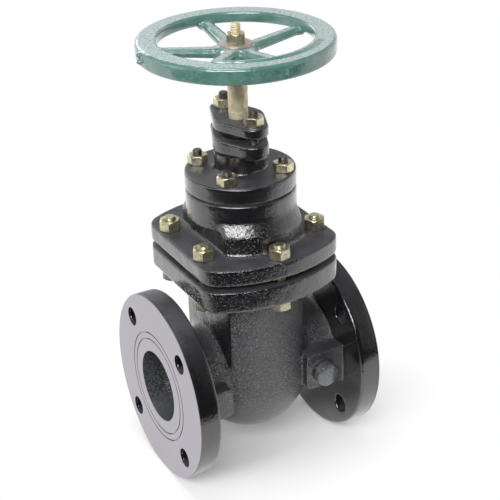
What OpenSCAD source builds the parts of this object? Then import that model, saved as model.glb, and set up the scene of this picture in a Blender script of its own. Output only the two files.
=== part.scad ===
// Flanged iron gate valve with a non-rising stem, a bolted bonnet and a handwheel.
// Origin: centre of the inlet flange face. +X runs with the flow to the outlet flange,
// +Z runs up the stem. The gate is drawn closed.

/* [Pipe ends] */
// Face to face length along the pipe
face_to_face = 203.2; // [195:0.1:240]
// Outside diameter of the end flanges
flange_d = 190.5; // [184:0.5:215]
// Thickness of the end flanges
flange_t = 22; // [17:1:26]
// Chamfer on the rims of the end flanges
flange_chamfer = 1; // [0.5:0.5:2]
// Distance of the bolt circle from the rims of the end flanges
bolt_edge = 19.05; // [15:0.05:20]
// Bolts in each end flange
flange_bolts = 4; // [4:4:8]
// Bolt holes in the inlet flange
inlet_hole_d = 19.5; // [15:0.05:21]
// Bolt holes in the outlet flange
outlet_hole_d = 19.05; // [15:0.05:21]
// Bore of the port
port_d = 73; // [64:0.5:76]
// Wall of the port neck
port_wall = 9; // [7:0.5:12]
// Fillet between a port neck and its end flange
neck_fillet = 6; // [3:1:8]
// Diameter of the inner gasket groove
groove_in_d = 99.2; // [92:0.1:105]
// Diameter of the outer gasket groove
groove_out_d = 112.6; // [108:0.1:120]
// Width and depth of the gasket grooves
groove_w = 1.2; // [0.6:0.1:2]

/* [Body] */
// Wall of the body and the bonnet
wall = 8; // [6:0.5:10]
// Outside width of the body across its flat sides
body_flats = 84; // [80:1:90]
// Fillet between a port neck and the body's flat side
chamber_fillet = 10; // [6:1:14]
// Room round the gate inside the body
gate_room = 8.5; // [7:0.5:12]
// Drop of the rounded bottom below the flow line
bowl_drop = 8; // [4:1:14]
// Height of the bonnet joint over the flow line
joint_z = 127; // [124:1:140]
// Thickness of the body's joint flange
body_flange_t = 22; // [16:1:26]
// Length of the inlet side's drain pads, from the end flange
inlet_pad_l = 32; // [28:1:38]
// Length of the outlet side's drain pads, from the end flange
outlet_pad_l = 43; // [36:1:46]
// Top of the inlet side's drain pads over the flow line
inlet_pad_top = 12; // [8:1:20]
// Top of the outlet side's drain pads over the flow line
outlet_pad_top = 20; // [14:1:22]
// Bottom of the drain pads under the flow line
pad_bottom = 20; // [16:1:22]
// Corner radius of the drain pads
pad_corner_r = 6; // [3:1:9]
// Reach of the drain pads from the flow line
pad_reach = 60; // [56:1:64]
// Diameter of the blind drain bosses
boss_d = 24; // [18:1:28]
// Height of the blind drain bosses over their pads
boss_h = 13; // [6:1:16]
// Distance of the blind drain bosses from the stem
boss_x = 54; // [50:1:58]

/* [Bonnet joint] */
// Width of the joint flanges along the pipe
joint_x = 147.5; // [145:0.5:160]
// Width of the joint flanges across the pipe
joint_y = 171; // [168:1:180]
// Radius of the joint flanges' long curved sides
joint_side_r = 130; // [115:5:160]
// Corner radius of the joint flanges
joint_corner_r = 22; // [14:1:26]
// Distance of the corner bolts from the stem along the pipe
joint_bolt_x = 61.2; // [60:0.2:64]
// Distance of the corner bolts from the stem across the pipe
joint_bolt_y = 36.5; // [34:0.5:40]
// Distance of the middle bolts from the stem
joint_bolt_mid = 73; // [72:0.5:75]
// Diameter of the bonnet bolts
joint_bolt_d = 12; // [10:1:13]
// Width across the flats of the bonnet nuts and bolt heads
joint_nut_af = 19.2; // [18:0.1:21]
// Height of the bonnet nuts
joint_nut_h = 10.8; // [8:0.1:12]
// Height of the bonnet bolt heads
joint_head_h = 9; // [6:0.1:10]
// Length of a bonnet bolt over its nut
joint_bolt_stub = 3; // [1:0.5:6]
// Open gap between the joint flanges outside the gasket
joint_gap = 6; // [4:0.5:8]
// Thickness of the bonnet gasket
gasket_t = 2; // [1:0.5:3]
// Width of the raised joint face round the cavity
joint_land = 10; // [6:1:12]

/* [Bonnet] */
// Thickness of the bonnet's joint flange
bonnet_flange_t = 17; // [14:1:20]
// Width of the bonnet neck across its flat sides
bonnet_flats = 86; // [82:1:92]
// Radius of the bonnet neck's round front and back at its foot
bonnet_foot_r = 63.5; // [62:0.5:66]
// Radius of the bonnet neck's round front and back at its shoulder
shoulder_r = 62; // [60:0.5:62]
// Height of the bonnet neck's shoulder over its joint flange
shoulder_h = 17.5; // [14:0.5:20]
// Height of the shoulder's slope, up into the round top flange
shoulder_rise = 15.5; // [13:0.5:18]
// Fillet at the foot of the bonnet neck
bonnet_fillet = 4; // [2:0.5:5]
// Diameter of the round top flange
top_flange_d = 108.8; // [106:0.2:114]
// Clear height under the round top flange beside the neck's flat sides
bonnet_neck_h = 20; // [18:1:24]
// Thickness of the bonnet's round top flange
bonnet_top_t = 28.5; // [24:0.5:34]
// Rounding of the cast upper edges
cast_edge_r = 2; // [1:0.5:3]
// Thickness of the bonnet's roof over its cavity, under the top flange
roof_drop = 10; // [8:1:14]
// Spot face round a nut, past its corners
spot_margin = 0.8; // [0.5:0.1:1.5]

/* [Stuffing box] */
// Thickness of the stuffing box gasket
top_gasket_t = 1; // [0.5:0.5:2]
// Thickness of the stuffing box's round flange
box_flange_t = 17; // [14:1:20]
// Bolt circle of the stuffing box
box_bolt_circle_d = 86; // [82:1:90]
// Diameter of the stuffing box studs
box_stud_d = 9.5; // [8:0.5:10]
// Depth of the stuffing box studs in the bonnet
stud_depth = 20; // [16:1:24]
// Length of a stuffing box stud over its nut
box_stud_stub = 5; // [2:0.5:8]
// Diameter of the round neck of the stuffing box
box_neck_d = 50; // [46:1:51]
// Height of the neck between the round flange and the oval flange
box_neck_h = 21; // [16:1:30]
// Fillet at the foot of the stuffing box neck
box_fillet = 3; // [1:0.5:4]
// Thickness of the oval flange
oval_t = 14; // [12:1:20]
// Width of the stuffing box's oval flange over the stem
oval_mid_d = 52; // [50:1:56]
// Thickness of the floor under the packing
packing_floor = 11; // [8:1:14]

/* [Gland] */
// Thickness of the gland flange
gland_t = 10; // [8:0.5:16]
// Open gap under the gland flange
gland_gap = 8; // [5:0.5:12]
// Width of the gland over the stem
gland_mid_d = 50; // [46:1:56]
// Distance between the gland studs
gland_stud_pitch = 59; // [56:1:66]
// Diameter of the gland studs
gland_stud_d = 9.5; // [8:0.5:11]
// Length of a gland stud over its nut
gland_stud_stub = 5.5; // [2:0.5:9]
// Width across the flats of the stuffing box and gland nuts
stud_nut_af = 17.6; // [16:0.1:18]
// Height of the stuffing box and gland nuts
stud_nut_h = 9; // [7:0.1:10]
// Radius of the rounded ends of the oval flanges
oval_end_r = 14; // [12:0.5:17]
// Radial room of the packing round the stem
packing_w = 6; // [5:0.5:7]
// Depth of the gland nose inside the stuffing box
nose_in = 10; // [6:1:14]
// Depth of the recess round the stem in the gland's top
gland_recess = 2; // [1:0.5:4]

/* [Stem] */
// Stem diameter
stem_d = 19; // [17:0.5:20]
// Diameter of the thrust collar
collar_d = 32; // [28:1:36]
// Thickness of the thrust collar
collar_t = 9; // [7:1:12]
// Side of the square that drives the handwheel
square_w = 12.6; // [11:0.1:13]
// Diameter of the threaded stem end
stem_end_d = 10; // [8:0.5:11]
// Free height of the stem between the gland and the handwheel hub
stem_rise = 45.5; // [40:0.5:60]
// Threaded length over the handwheel nut
stem_end_free = 9.5; // [4:0.5:12]
// Thickness of the handwheel washer
washer_t = 2.5; // [1.5:0.5:4]
// Diameter of the handwheel washer
washer_d = 31; // [26:1:34]
// Width across the flats of the handwheel nut
wheel_nut_af = 16.8; // [15:0.1:18]
// Height of the handwheel nut
wheel_nut_h = 9.5; // [7:0.5:11]

/* [Gate] */
// Taper of each gate face in degrees
gate_taper = 5; // [3:0.5:6]
// Half thickness of the gate over its rings at the flow line
gate_half = 20; // [19:0.5:22]
// Radial width of the seat rings
seat_w = 7.5; // [6:0.5:8]
// Depth of the seat rings in the body wall
seat_depth = 6; // [4:0.5:6]
// Thickness of the gate's face rings
ring_t = 3.5; // [2.5:0.5:5]
// Stand of the gate's face rings over its faces
ring_proud = 1.5; // [1:0.5:2]
// Travel of the gate past the port when it is open
gate_clear = 5; // [5:1:8]
// Height of the gate's nut boss over the flow line
gate_head_z = 64; // [62:1:66]
// Height of the stem nut
stem_nut_h = 18; // [14:1:22]
// Wall of the stem nut and of the gate's boss round it
nut_wall = 5; // [4:0.5:6]
// Width of the guide ribs
guide_w = 6; // [4:0.5:8]
// Depth of the gate's guide lugs under the flow line
lug_low = 10; // [6:1:14]
// Height of the gate's guide lugs over the flow line
lug_high = 28; // [20:1:34]

/* [Handwheel] */
// Outside diameter of the handwheel
wheel_d = 187.6; // [170:1:220]
// Radial width of the rim
rim_w = 20.5; // [14:0.5:22]
// Height of the rim at its outside
rim_h = 16.5; // [12:0.5:19]
// Rise of the rim's underside towards the hub
rim_under = 5; // [1:0.5:5.5]
// Corner rounding of the rim
rim_r = 3.5; // [2:0.5:4]
// Width of a spoke at the rim
spoke_w = 13; // [10:1:16]
// Thickness of a spoke at the rim
spoke_t = 8; // [7:0.5:10]
// Turn of the first spoke from the flow direction
spoke_turn = 9; // [0:1:71]
// Angle from one to the next of the three spokes at the back
back_step = 75.5; // [70:0.5:76]
// Angle from one to the next of the spokes at the front
front_step = 60.5; // [60:0.5:70]
// Rise of a spoke from the hub to the rim
spoke_rise = 5; // [0:0.5:8]
// Height of the spokes' tips above the rim's lowest edge
spoke_lift = 1.5; // [0:0.5:3]
// Diameter of the hub
hub_d = 36.5; // [34:0.5:42]
// Height of the hub
hub_h = 24; // [18:1:30]
// Height of the rim's top over the hub's top
rim_rise = 9.7; // [4:0.1:14]

/* [Clearances] */
// Running clearance between stem and bore on the radius
run_gap = 0.05; // [0.02:0.01:0.09]
// Clearance of bolts and studs in their holes on the radius
bolt_gap = 0.6; // [0.3:0.1:1]
// Clearance of parts that are assembled by hand
fit_gap = 0.1; // [0.05:0.05:0.3]
// Gap between the closed gate and its seats
seat_gap = 0.3; // [0.2:0.1:0.5]
// Clearance of the gate on its guides
guide_gap = 1; // [0.5:0.1:1.5]
// Clearance round the stem where nothing bears on it
free_gap = 1.5; // [1:0.5:2]
// Step from the port's bore out to the bore of the seat rings
seat_step = 0.6; // [0.5:0.1:1]

/* [Hidden] */
$fn = 96;

// How far cuts run past a face, and joined parts into each other
over = 1;
// The stuffing box is held by four studs, astride the pipe
box_studs = 4;

stem_x = face_to_face / 2;
port_r = port_d / 2;
bolt_circle_d = flange_d - 2 * bolt_edge;
neck_r = port_r + port_wall;
seat_r = port_r + seat_w;
gate_r = seat_r + free_gap;
cavity_r = gate_r + gate_room;
body_r = cavity_r + wall;
body_half = body_flats / 2;
cavity_half = body_half - wall;
// Half width of the body's flat sides, up to their corners
flat_edge = sqrt(body_r * body_r - body_half * body_half);

// Heights, from the bonnet joint to the end of the stem
joint_raise = (joint_gap - gasket_t) / 2;
body_flange_z = joint_z - body_flange_t;
gasket_z = joint_z + joint_raise;
bonnet_z = gasket_z + gasket_t;
bonnet_flange_z = bonnet_z + joint_raise;
bonnet_deck = bonnet_flange_z + bonnet_flange_t;
top_flange_z = bonnet_deck + bonnet_neck_h;
bonnet_top = top_flange_z + bonnet_top_t;
cavity_top = top_flange_z - roof_drop;
box_z = bonnet_top + top_gasket_t;
box_deck = box_z + box_flange_t;
oval_z = box_deck + box_neck_h;
oval_top = oval_z + oval_t;
gland_z = oval_top + gland_gap;
gland_top = gland_z + gland_t;
hub_z = gland_top + stem_rise;
hub_top = hub_z + hub_h;
wheel_nut_z = hub_top + washer_t;
stem_top = wheel_nut_z + wheel_nut_h + stem_end_free;
rim_top = hub_top + rim_rise;
rim_z = rim_top - rim_h;
// Three spokes stand at the back and two at the front, and join the rim in its lower half
back_spokes = 3;
front_spokes = 2;
spoke_z = rim_z + spoke_lift + spoke_t / 2 - spoke_rise;
// A spoke is this much broader at the hub
root_grow = 1.25;

// The stem, and what runs on it
stem_r = stem_d / 2;
collar_r = collar_d / 2;
collar_room_r = collar_r + free_gap / 2;
collar_gap = run_gap * 2;
packing_r = stem_r + packing_w;
packing_z = box_z + packing_floor;
nose_z = oval_top - nose_in;
stem_nut_z = gate_head_z - stem_nut_h;
stem_nut_r = stem_r + nut_wall;
stem_foot = stem_nut_z - 2 * over;
gate_lift = port_d + gate_clear;
gate_bore_z = stem_foot - gate_lift - 2 * over;
lug_half = guide_w / 2 + guide_gap + nut_wall;
lug_reach = cavity_r - 2 * guide_gap;

// Plan of the body chamber: a disc with two flat sides, half_w from the middle
module flatted(r, half_w) {
    intersection() {
        circle(r = r);
        square([2 * half_w, 2 * r + 2 * over], center = true);
    }
}

// Plan of the two joint flanges: straight ends, long curved sides and round corners.
// Each corner circle touches the straight end and lies inside the side's circle.
module joint_plan() {
    side_y = joint_side_r - joint_y / 2;
    corner_x = joint_x / 2 - joint_corner_r;
    corner_reach = joint_side_r - joint_corner_r;
    corner_y = sqrt(corner_reach * corner_reach - corner_x * corner_x) - side_y;
    side_x = corner_x * joint_side_r / corner_reach;
    intersection_for(y = [-side_y, side_y]) {
        translate([0, y]) intersection() {
            circle(r = joint_side_r, $fn = 240);
            translate([0, -y]) square([2 * side_x, joint_y], center = true);
        }
    }
    square([joint_x, 2 * corner_y], center = true);
    for (x = [-corner_x, corner_x], y = [-corner_y, corner_y]) {
        translate([x, y]) circle(r = joint_corner_r);
    }
}

// Plan of an oval flange: a middle disc, two end discs and the straight sides that touch them
module oval_plan(mid_d) {
    reach = gland_stud_pitch / 2;
    lean = asin((mid_d / 2 - oval_end_r) / reach);
    circle(d = mid_d);
    for (side = [-1, 1]) {
        translate([0, side * reach]) circle(r = oval_end_r);
        for (hand = [-1, 1]) {
            polygon([
                [0, 0],
                [hand * mid_d / 2 * cos(lean), side * mid_d / 2 * sin(lean)],
                [hand * oval_end_r * cos(lean), side * (reach + oval_end_r * sin(lean))],
                [0, side * reach]
            ]);
        }
    }
}

// Copies on a circle round the stem, or round the middle when at_x is 0
module round_stem(count, d, turn, at_x = stem_x) {
    for (i = [0 : count - 1]) {
        translate([at_x, 0, 0])
            rotate(turn + i * 360 / count)
                translate([d / 2, 0, 0])
                    children();
    }
}

// One bolt in the middle of each long side of the joint, and one in each corner
module at_joint_bolts() {
    for (side = [-1, 1]) {
        translate([stem_x, side * joint_bolt_mid, 0]) children();
        for (end = [-1, 1]) {
            translate([stem_x + end * joint_bolt_x, side * joint_bolt_y, 0]) children();
        }
    }
}

module at_box_studs(at_x = stem_x) {
    round_stem(box_studs, box_bolt_circle_d, 180 / box_studs, at_x) children();
}

module at_gland_studs() {
    for (side = [-1, 1]) {
        translate([stem_x, side * gland_stud_pitch / 2, 0]) children();
    }
}

module hex(af, h) {
    cylinder(d = af / cos(30), h = h, $fn = 6);
}

module nut(af, h, thread_d) {
    difference() {
        hex(af, h);
        translate([0, 0, -over]) cylinder(d = thread_d + 2 * fit_gap, h = h + 2 * over);
    }
}

module ring(r_out, r_in, h) {
    difference() {
        cylinder(r = r_out, h = h);
        translate([0, 0, -over]) cylinder(r = r_in, h = h + 2 * over);
    }
}

// Disc whose upper edge is rounded
module eased_disc(r, h, edge_r) {
    rotate_extrude() {
        square([r, h - edge_r]);
        square([r - edge_r, h]);
        translate([r - edge_r, h - edge_r]) intersection() {
            circle(r = edge_r, $fn = 32);
            square(edge_r);
        }
    }
}

// Half section of a fillet of radius f at the foot of a wall that stands at radius r
module foot_fillet(r, f) {
    difference() {
        square([r + f, f]);
        translate([r + f, f]) circle(r = f, $fn = 32);
    }
}

// Axis of a gate face: side -1 looks to the inlet and 1 to the outlet,
// with the children's +Z pointing out of the face, from the gate's middle
module on_gate_face(side, out) {
    translate([stem_x, 0, 0])
        rotate([0, side * (90 + gate_taper), 0])
            translate([0, 0, out])
                children();
}

module end_flange(hole_d) {
    r = flange_d / 2;
    difference() {
        rotate_extrude($fn = 180) polygon([
            [0, 0],
            [r - flange_chamfer, 0],
            [r, flange_chamfer],
            [r, flange_t - flange_chamfer],
            [r - flange_chamfer, flange_t],
            [0, flange_t]
        ]);
        round_stem(flange_bolts, bolt_circle_d, 180 / flange_bolts, 0)
            translate([0, 0, -over])
                cylinder(d = hole_d, h = flange_t + 2 * over);
        for (d = [groove_in_d, groove_out_d]) {
            translate([0, 0, -groove_w]) ring(d / 2 + groove_w / 2, d / 2 - groove_w / 2, 2 * groove_w);
        }
    }
}

// Round-bottomed chamber of radius r, from the bowl up to the height top
module chamber(r, half_w, top) {
    intersection() {
        union() {
            translate([0, 0, -bowl_drop]) cylinder(r = r, h = top + bowl_drop);
            translate([0, 0, -bowl_drop]) sphere(r = r);
        }
        translate([-half_w, -r - over, -bowl_drop - r - over])
            cube([2 * half_w, 2 * (r + over), top + bowl_drop + r + 2 * over]);
    }
}

// Port neck from the inlet flange's face to the stem, with a fillet at each end.
// The fillet at the body keeps just inside the outline of the body's flat side.
module port_neck() {
    rotate([0, 90, 0]) cylinder(r = neck_r, h = stem_x);
    translate([flange_t, 0, 0])
        rotate([0, 90, 0])
            rotate_extrude() foot_fillet(neck_r, neck_fillet);
    translate([stem_x - body_half, 0, 0]) intersection() {
        rotate([0, -90, 0]) rotate_extrude() foot_fillet(neck_r, chamber_fillet);
        rotate([90, 0, -90]) linear_extrude(chamber_fillet) {
            translate([0, -bowl_drop]) circle(r = flat_edge - over);
            translate([over - flat_edge, -bowl_drop]) square([2 * (flat_edge - over), joint_z]);
        }
    }
}

// Rounded pad from the end flange towards the stem, on both sides of the port neck
module drain_pads(pad_l, pad_top) {
    for (side = [0, 1]) {
        mirror([0, side, 0]) translate([flange_t - over, pad_reach, 0]) rotate([90, 0, 0])
            linear_extrude(pad_reach - port_r - port_wall / 2) {
                flat_l = pad_l + over - pad_corner_r;
                low = pad_corner_r - pad_bottom;
                high = pad_top - pad_corner_r;
                translate([0, -pad_bottom]) square([flat_l, pad_top + pad_bottom]);
                translate([0, low]) square([flat_l + pad_corner_r, high - low]);
                for (z = [low, high]) {
                    translate([flat_l, z]) circle(r = pad_corner_r);
                }
            }
    }
}

module drain_bosses() {
    for (side = [0, 1]) {
        mirror([0, side, 0])
            translate([stem_x + boss_x, pad_reach - over, 0])
                rotate([-90, 0, 0])
                    eased_disc(boss_d / 2, boss_h + over, cast_edge_r / 2);
    }
}

module body() {
    color("#2e2e32") difference() {
        union() {
            for (end = [0, 1]) {
                translate([end * face_to_face, 0, 0]) mirror([end, 0, 0]) {
                    rotate([0, 90, 0]) end_flange(end == 0 ? inlet_hole_d : outlet_hole_d);
                    port_neck();
                    if (end == 0) drain_pads(inlet_pad_l, inlet_pad_top);
                    else drain_pads(outlet_pad_l, outlet_pad_top);
                }
            }
            drain_bosses();
            translate([stem_x, 0, 0]) chamber(body_r, body_half, joint_z - over);
            translate([stem_x, 0, body_flange_z]) linear_extrude(body_flange_t) joint_plan();
            translate([stem_x, 0, joint_z - over]) linear_extrude(joint_raise + over)
                flatted(cavity_r + joint_land, cavity_half + joint_land);
        }
        difference() {
            translate([stem_x, 0, 0]) chamber(cavity_r, cavity_half, gasket_z + over);
            guide_ribs();
        }
        translate([-over, 0, 0]) rotate([0, 90, 0]) cylinder(r = port_r, h = face_to_face + 2 * over);
        for (side = [-1, 1]) {
            on_gate_face(side, gate_half + seat_gap)
                cylinder(r = seat_r + fit_gap, h = cavity_half - gate_half + seat_depth);
        }
        at_joint_bolts() translate([0, 0, body_flange_z - over])
            cylinder(d = joint_bolt_d + 2 * bolt_gap, h = body_flange_t + 2 * over);
    }
}

// The two upright ribs that guide the gate, on the chamber's front and back walls
module guide_ribs() {
    for (side = [0, 1]) {
        mirror([0, side, 0])
            translate([stem_x - guide_w / 2, gate_r + free_gap / 2, -gate_r / 2])
                cube([guide_w, gate_room, joint_z - wall + gate_r / 2]);
    }
}

// Seat ring: its outside and its face lean with the gate, and its bore runs with the port
module seat_ring(side) {
    difference() {
        on_gate_face(side, gate_half + seat_gap)
            cylinder(r = seat_r, h = cavity_half - gate_half + seat_depth - fit_gap);
        translate([-over, 0, 0]) rotate([0, 90, 0])
            cylinder(r = port_r + seat_step, h = face_to_face + 2 * over);
    }
}

module inlet_seat_ring() {
    color("#b08a4a") seat_ring(-1);
}

module outlet_seat_ring() {
    color("#b08a4a") seat_ring(1);
}

module bonnet_gasket() {
    color("#3a3835") translate([stem_x, 0, gasket_z]) linear_extrude(gasket_t) difference() {
        flatted(cavity_r + joint_land, cavity_half + joint_land);
        flatted(cavity_r, cavity_half);
    }
}

// Neck of the bonnet: round front and back whose shoulder slopes into the round top
// flange, two flat sides, and a fillet all round its foot
module bonnet_neck() {
    half_l = bonnet_foot_r + 2 * bonnet_fillet;
    intersection() {
        union() {
            cylinder(r1 = bonnet_foot_r, r2 = shoulder_r, h = shoulder_h);
            translate([0, 0, shoulder_h])
                cylinder(r1 = shoulder_r, r2 = top_flange_d / 2 - over, h = shoulder_rise);
            rotate_extrude() foot_fillet(bonnet_foot_r, bonnet_fillet);
        }
        translate([0, half_l, 0]) rotate([90, 0, 0]) linear_extrude(2 * half_l) {
            translate([-bonnet_flats / 2, 0]) square([bonnet_flats, shoulder_h + shoulder_rise + over]);
            for (side = [0, 1]) {
                mirror([side, 0]) foot_fillet(bonnet_flats / 2, bonnet_fillet);
            }
        }
    }
}

module bonnet() {
    color("#2e2e32") difference() {
        union() {
            translate([stem_x, 0, bonnet_z]) linear_extrude(joint_raise + over)
                flatted(cavity_r + joint_land, cavity_half + joint_land);
            translate([stem_x, 0, bonnet_flange_z]) linear_extrude(bonnet_flange_t) joint_plan();
            translate([stem_x, 0, bonnet_deck]) bonnet_neck();
            translate([stem_x, 0, top_flange_z]) eased_disc(top_flange_d / 2, bonnet_top_t, cast_edge_r);
        }
        translate([stem_x, 0, bonnet_z - over]) linear_extrude(cavity_top - bonnet_z + over)
            flatted(cavity_r - 2 * guide_gap, cavity_half);
        translate([stem_x, 0, bonnet_z]) cylinder(r = stem_r + run_gap, h = bonnet_top);
        translate([stem_x, 0, bonnet_top - collar_t - 2 * collar_gap])
            cylinder(r = collar_room_r, h = collar_t + 2 * over);
        at_joint_bolts() {
            translate([0, 0, bonnet_flange_z - over])
                cylinder(d = joint_bolt_d + 2 * bolt_gap, h = bonnet_flange_t + 2 * over);
            translate([0, 0, bonnet_deck])
                cylinder(r = joint_nut_af / 2 / cos(30) + spot_margin, h = joint_nut_h + over);
        }
        at_box_studs() translate([0, 0, bonnet_top - stud_depth])
            cylinder(d = box_stud_d + 2 * fit_gap, h = stud_depth + over);
    }
}

module bonnet_bolts() {
    shank_l = bonnet_deck - body_flange_z + joint_nut_h + joint_bolt_stub;
    color("#c9c08a") at_joint_bolts() translate([0, 0, body_flange_z]) {
        translate([0, 0, -joint_head_h]) rotate(30) hex(joint_nut_af, joint_head_h);
        translate([0, 0, -over]) cylinder(d = joint_bolt_d, h = shank_l + over);
    }
}

module bonnet_nuts() {
    color("#c9c08a") at_joint_bolts() translate([0, 0, bonnet_deck])
        rotate(30) nut(joint_nut_af, joint_nut_h, joint_bolt_d);
}

module stuffing_box_gasket() {
    color("#3a3835") translate([stem_x, 0, bonnet_top]) difference() {
        cylinder(d = top_flange_d - 2 * cast_edge_r, h = top_gasket_t);
        translate([0, 0, -over]) cylinder(r = collar_room_r, h = top_gasket_t + 2 * over);
        at_box_studs(0) translate([0, 0, -over])
            cylinder(d = box_stud_d + 2 * bolt_gap, h = top_gasket_t + 2 * over);
    }
}

module stuffing_box() {
    color("#2e2e32") difference() {
        translate([stem_x, 0, 0]) {
            translate([0, 0, box_z]) eased_disc(top_flange_d / 2, box_flange_t, cast_edge_r);
            translate([0, 0, box_deck - over]) cylinder(d = box_neck_d, h = box_neck_h + 2 * over);
            translate([0, 0, box_deck]) rotate_extrude() foot_fillet(box_neck_d / 2, box_fillet);
            translate([0, 0, oval_z]) linear_extrude(oval_t) oval_plan(oval_mid_d);
        }
        at_box_studs() {
            translate([0, 0, box_z - over])
                cylinder(d = box_stud_d + 2 * bolt_gap, h = box_flange_t + 2 * over);
            translate([0, 0, box_deck])
                cylinder(r = stud_nut_af / 2 / cos(30) + spot_margin, h = box_fillet + over);
        }
        translate([stem_x, 0, box_z - over]) cylinder(r = stem_r + run_gap, h = box_flange_t);
        translate([stem_x, 0, packing_z]) cylinder(r = packing_r, h = oval_top);
        at_gland_studs() translate([0, 0, oval_z - over])
            cylinder(d = gland_stud_d + 2 * fit_gap, h = oval_t + 2 * over);
    }
}

module stuffing_box_studs() {
    stud_l = stud_depth - over + top_gasket_t + box_flange_t + stud_nut_h + box_stud_stub;
    color("#2b2b2b") at_box_studs() translate([0, 0, bonnet_top - stud_depth + over])
        cylinder(d = box_stud_d, h = stud_l);
}

module stuffing_box_nuts() {
    color("#c9c08a") at_box_studs() translate([0, 0, box_deck]) nut(stud_nut_af, stud_nut_h, box_stud_d);
}

module packing() {
    color("#4a463f") translate([stem_x, 0, packing_z])
        ring(packing_r - fit_gap, stem_r + run_gap, nose_z - packing_z);
}

module gland() {
    color("#2e2e32") difference() {
        translate([stem_x, 0, 0]) {
            translate([0, 0, gland_z]) linear_extrude(gland_t) oval_plan(gland_mid_d);
            translate([0, 0, nose_z]) cylinder(r = packing_r - fit_gap, h = gland_z - nose_z + over);
        }
        translate([stem_x, 0, nose_z - over]) cylinder(r = stem_r + seat_gap, h = gland_top);
        translate([stem_x, 0, gland_top - gland_recess])
            cylinder(r = stem_r + free_gap, h = gland_recess + over);
        at_gland_studs() translate([0, 0, gland_z - over])
            cylinder(d = gland_stud_d + 2 * bolt_gap, h = gland_t + 2 * over);
    }
}

module gland_studs() {
    color("#2b2b2b") at_gland_studs() translate([0, 0, oval_z])
        cylinder(d = gland_stud_d, h = gland_top - oval_z + stud_nut_h + gland_stud_stub);
}

module gland_nuts() {
    color("#c9c08a") at_gland_studs() translate([0, 0, gland_top])
        rotate(15) nut(stud_nut_af, stud_nut_h, gland_stud_d);
}

// Tapered slab between the two gate faces, out from the middle by half at the flow line
module gate_slab(half, low, high) {
    lean = tan(gate_taper);
    rotate([90, 0, 0]) linear_extrude(4 * gate_r, center = true) polygon([
        [-half - low * lean, low],
        [half + low * lean, low],
        [half + high * lean, high],
        [-half - high * lean, high]
    ]);
}

module wedge() {
    half = (gate_half - ring_proud) / cos(gate_taper);
    color("#3b3a3c") difference() {
        translate([stem_x, 0, 0]) {
            intersection() {
                gate_slab(half, -gate_r - over, gate_r + over);
                union() {
                    rotate([0, 90, 0]) cylinder(r = gate_r, h = 4 * gate_half, center = true);
                    translate([-lug_half, -lug_reach, -lug_low])
                        cube([2 * lug_half, 2 * lug_reach, lug_low + lug_high]);
                }
            }
            cylinder(r = stem_nut_r + nut_wall, h = gate_head_z);
        }
        for (side = [0, 1]) {
            mirror([0, side, 0])
                translate([stem_x - guide_w / 2 - guide_gap, gate_r + free_gap / 2 - guide_gap, -gate_r])
                    cube([guide_w + 2 * guide_gap, gate_room, 2 * gate_r]);
        }
        for (side = [-1, 1]) {
            on_gate_face(side, gate_half - ring_t) gate_ring(fit_gap / 2, ring_t + nut_wall);
        }
        translate([stem_x, 0, gate_bore_z]) cylinder(r = stem_r + free_gap, h = 2 * gate_lift);
        translate([stem_x, 0, stem_nut_z]) cylinder(r = stem_nut_r, h = gate_head_z);
    }
}

// A face ring of the gate, or with grow its groove
module gate_ring(grow, h) {
    ring(seat_r - free_gap + grow, port_r + free_gap / 2 - grow, h);
}

module wedge_rings() {
    color("#b08a4a") for (side = [-1, 1]) {
        on_gate_face(side, gate_half - ring_t) gate_ring(0, ring_t);
    }
}

module wedge_nut() {
    color("#b08a4a") translate([stem_x, 0, stem_nut_z])
        ring(stem_nut_r - fit_gap, stem_r + run_gap, stem_nut_h);
}

module stem() {
    color("#c9b48a") translate([stem_x, 0, 0]) {
        translate([0, 0, stem_foot]) cylinder(r = stem_r, h = hub_z - stem_foot);
        translate([0, 0, bonnet_top - collar_t - collar_gap]) cylinder(r = collar_r, h = collar_t);
        translate([-square_w / 2, -square_w / 2, hub_z - over])
            cube([square_w, square_w, hub_h - over]);
        translate([0, 0, hub_z]) cylinder(d = stem_end_d, h = stem_top - hub_z);
    }
}

// Half section of the rim: a flat-topped bar with round corners, whose underside
// rises towards the hub
module rim_section() {
    inner = wheel_d / 2 - rim_w + rim_r;
    outer = wheel_d / 2 - rim_r;
    low = rim_r;
    lift = rim_r + rim_under;
    high = rim_h - rim_r;
    lean = atan(rim_under / (outer - inner));
    for (corner = [[inner, lift], [inner, high], [outer, low], [outer, high]]) {
        translate(corner) circle(r = rim_r, $fn = 32);
    }
    polygon([
        [inner - rim_r, lift],
        [inner - rim_r, high],
        [inner, rim_h],
        [outer, rim_h],
        [outer + rim_r, high],
        [outer + rim_r, low],
        [outer - rim_r * sin(lean), low - rim_r * cos(lean)],
        [inner - rim_r * sin(lean), lift - rim_r * cos(lean)]
    ]);
}

// End of a flat oval spoke, grow times its size at the rim
module spoke_end(grow) {
    for (side = [-1, 1]) {
        translate([0, side * grow * (spoke_w - spoke_t) / 2, 0])
            cylinder(d = grow * spoke_t, h = over, $fn = 24);
    }
}

module spoke() {
    root_x = hub_d / 2 - spoke_t / 2;
    tip_x = wheel_d / 2 - rim_w + rim_r;
    hull() {
        translate([root_x, 0, spoke_z]) rotate([0, 90, 0]) spoke_end(root_grow);
        translate([tip_x, 0, spoke_z + spoke_rise]) rotate([0, 90, 0]) spoke_end(1);
    }
}

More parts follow.
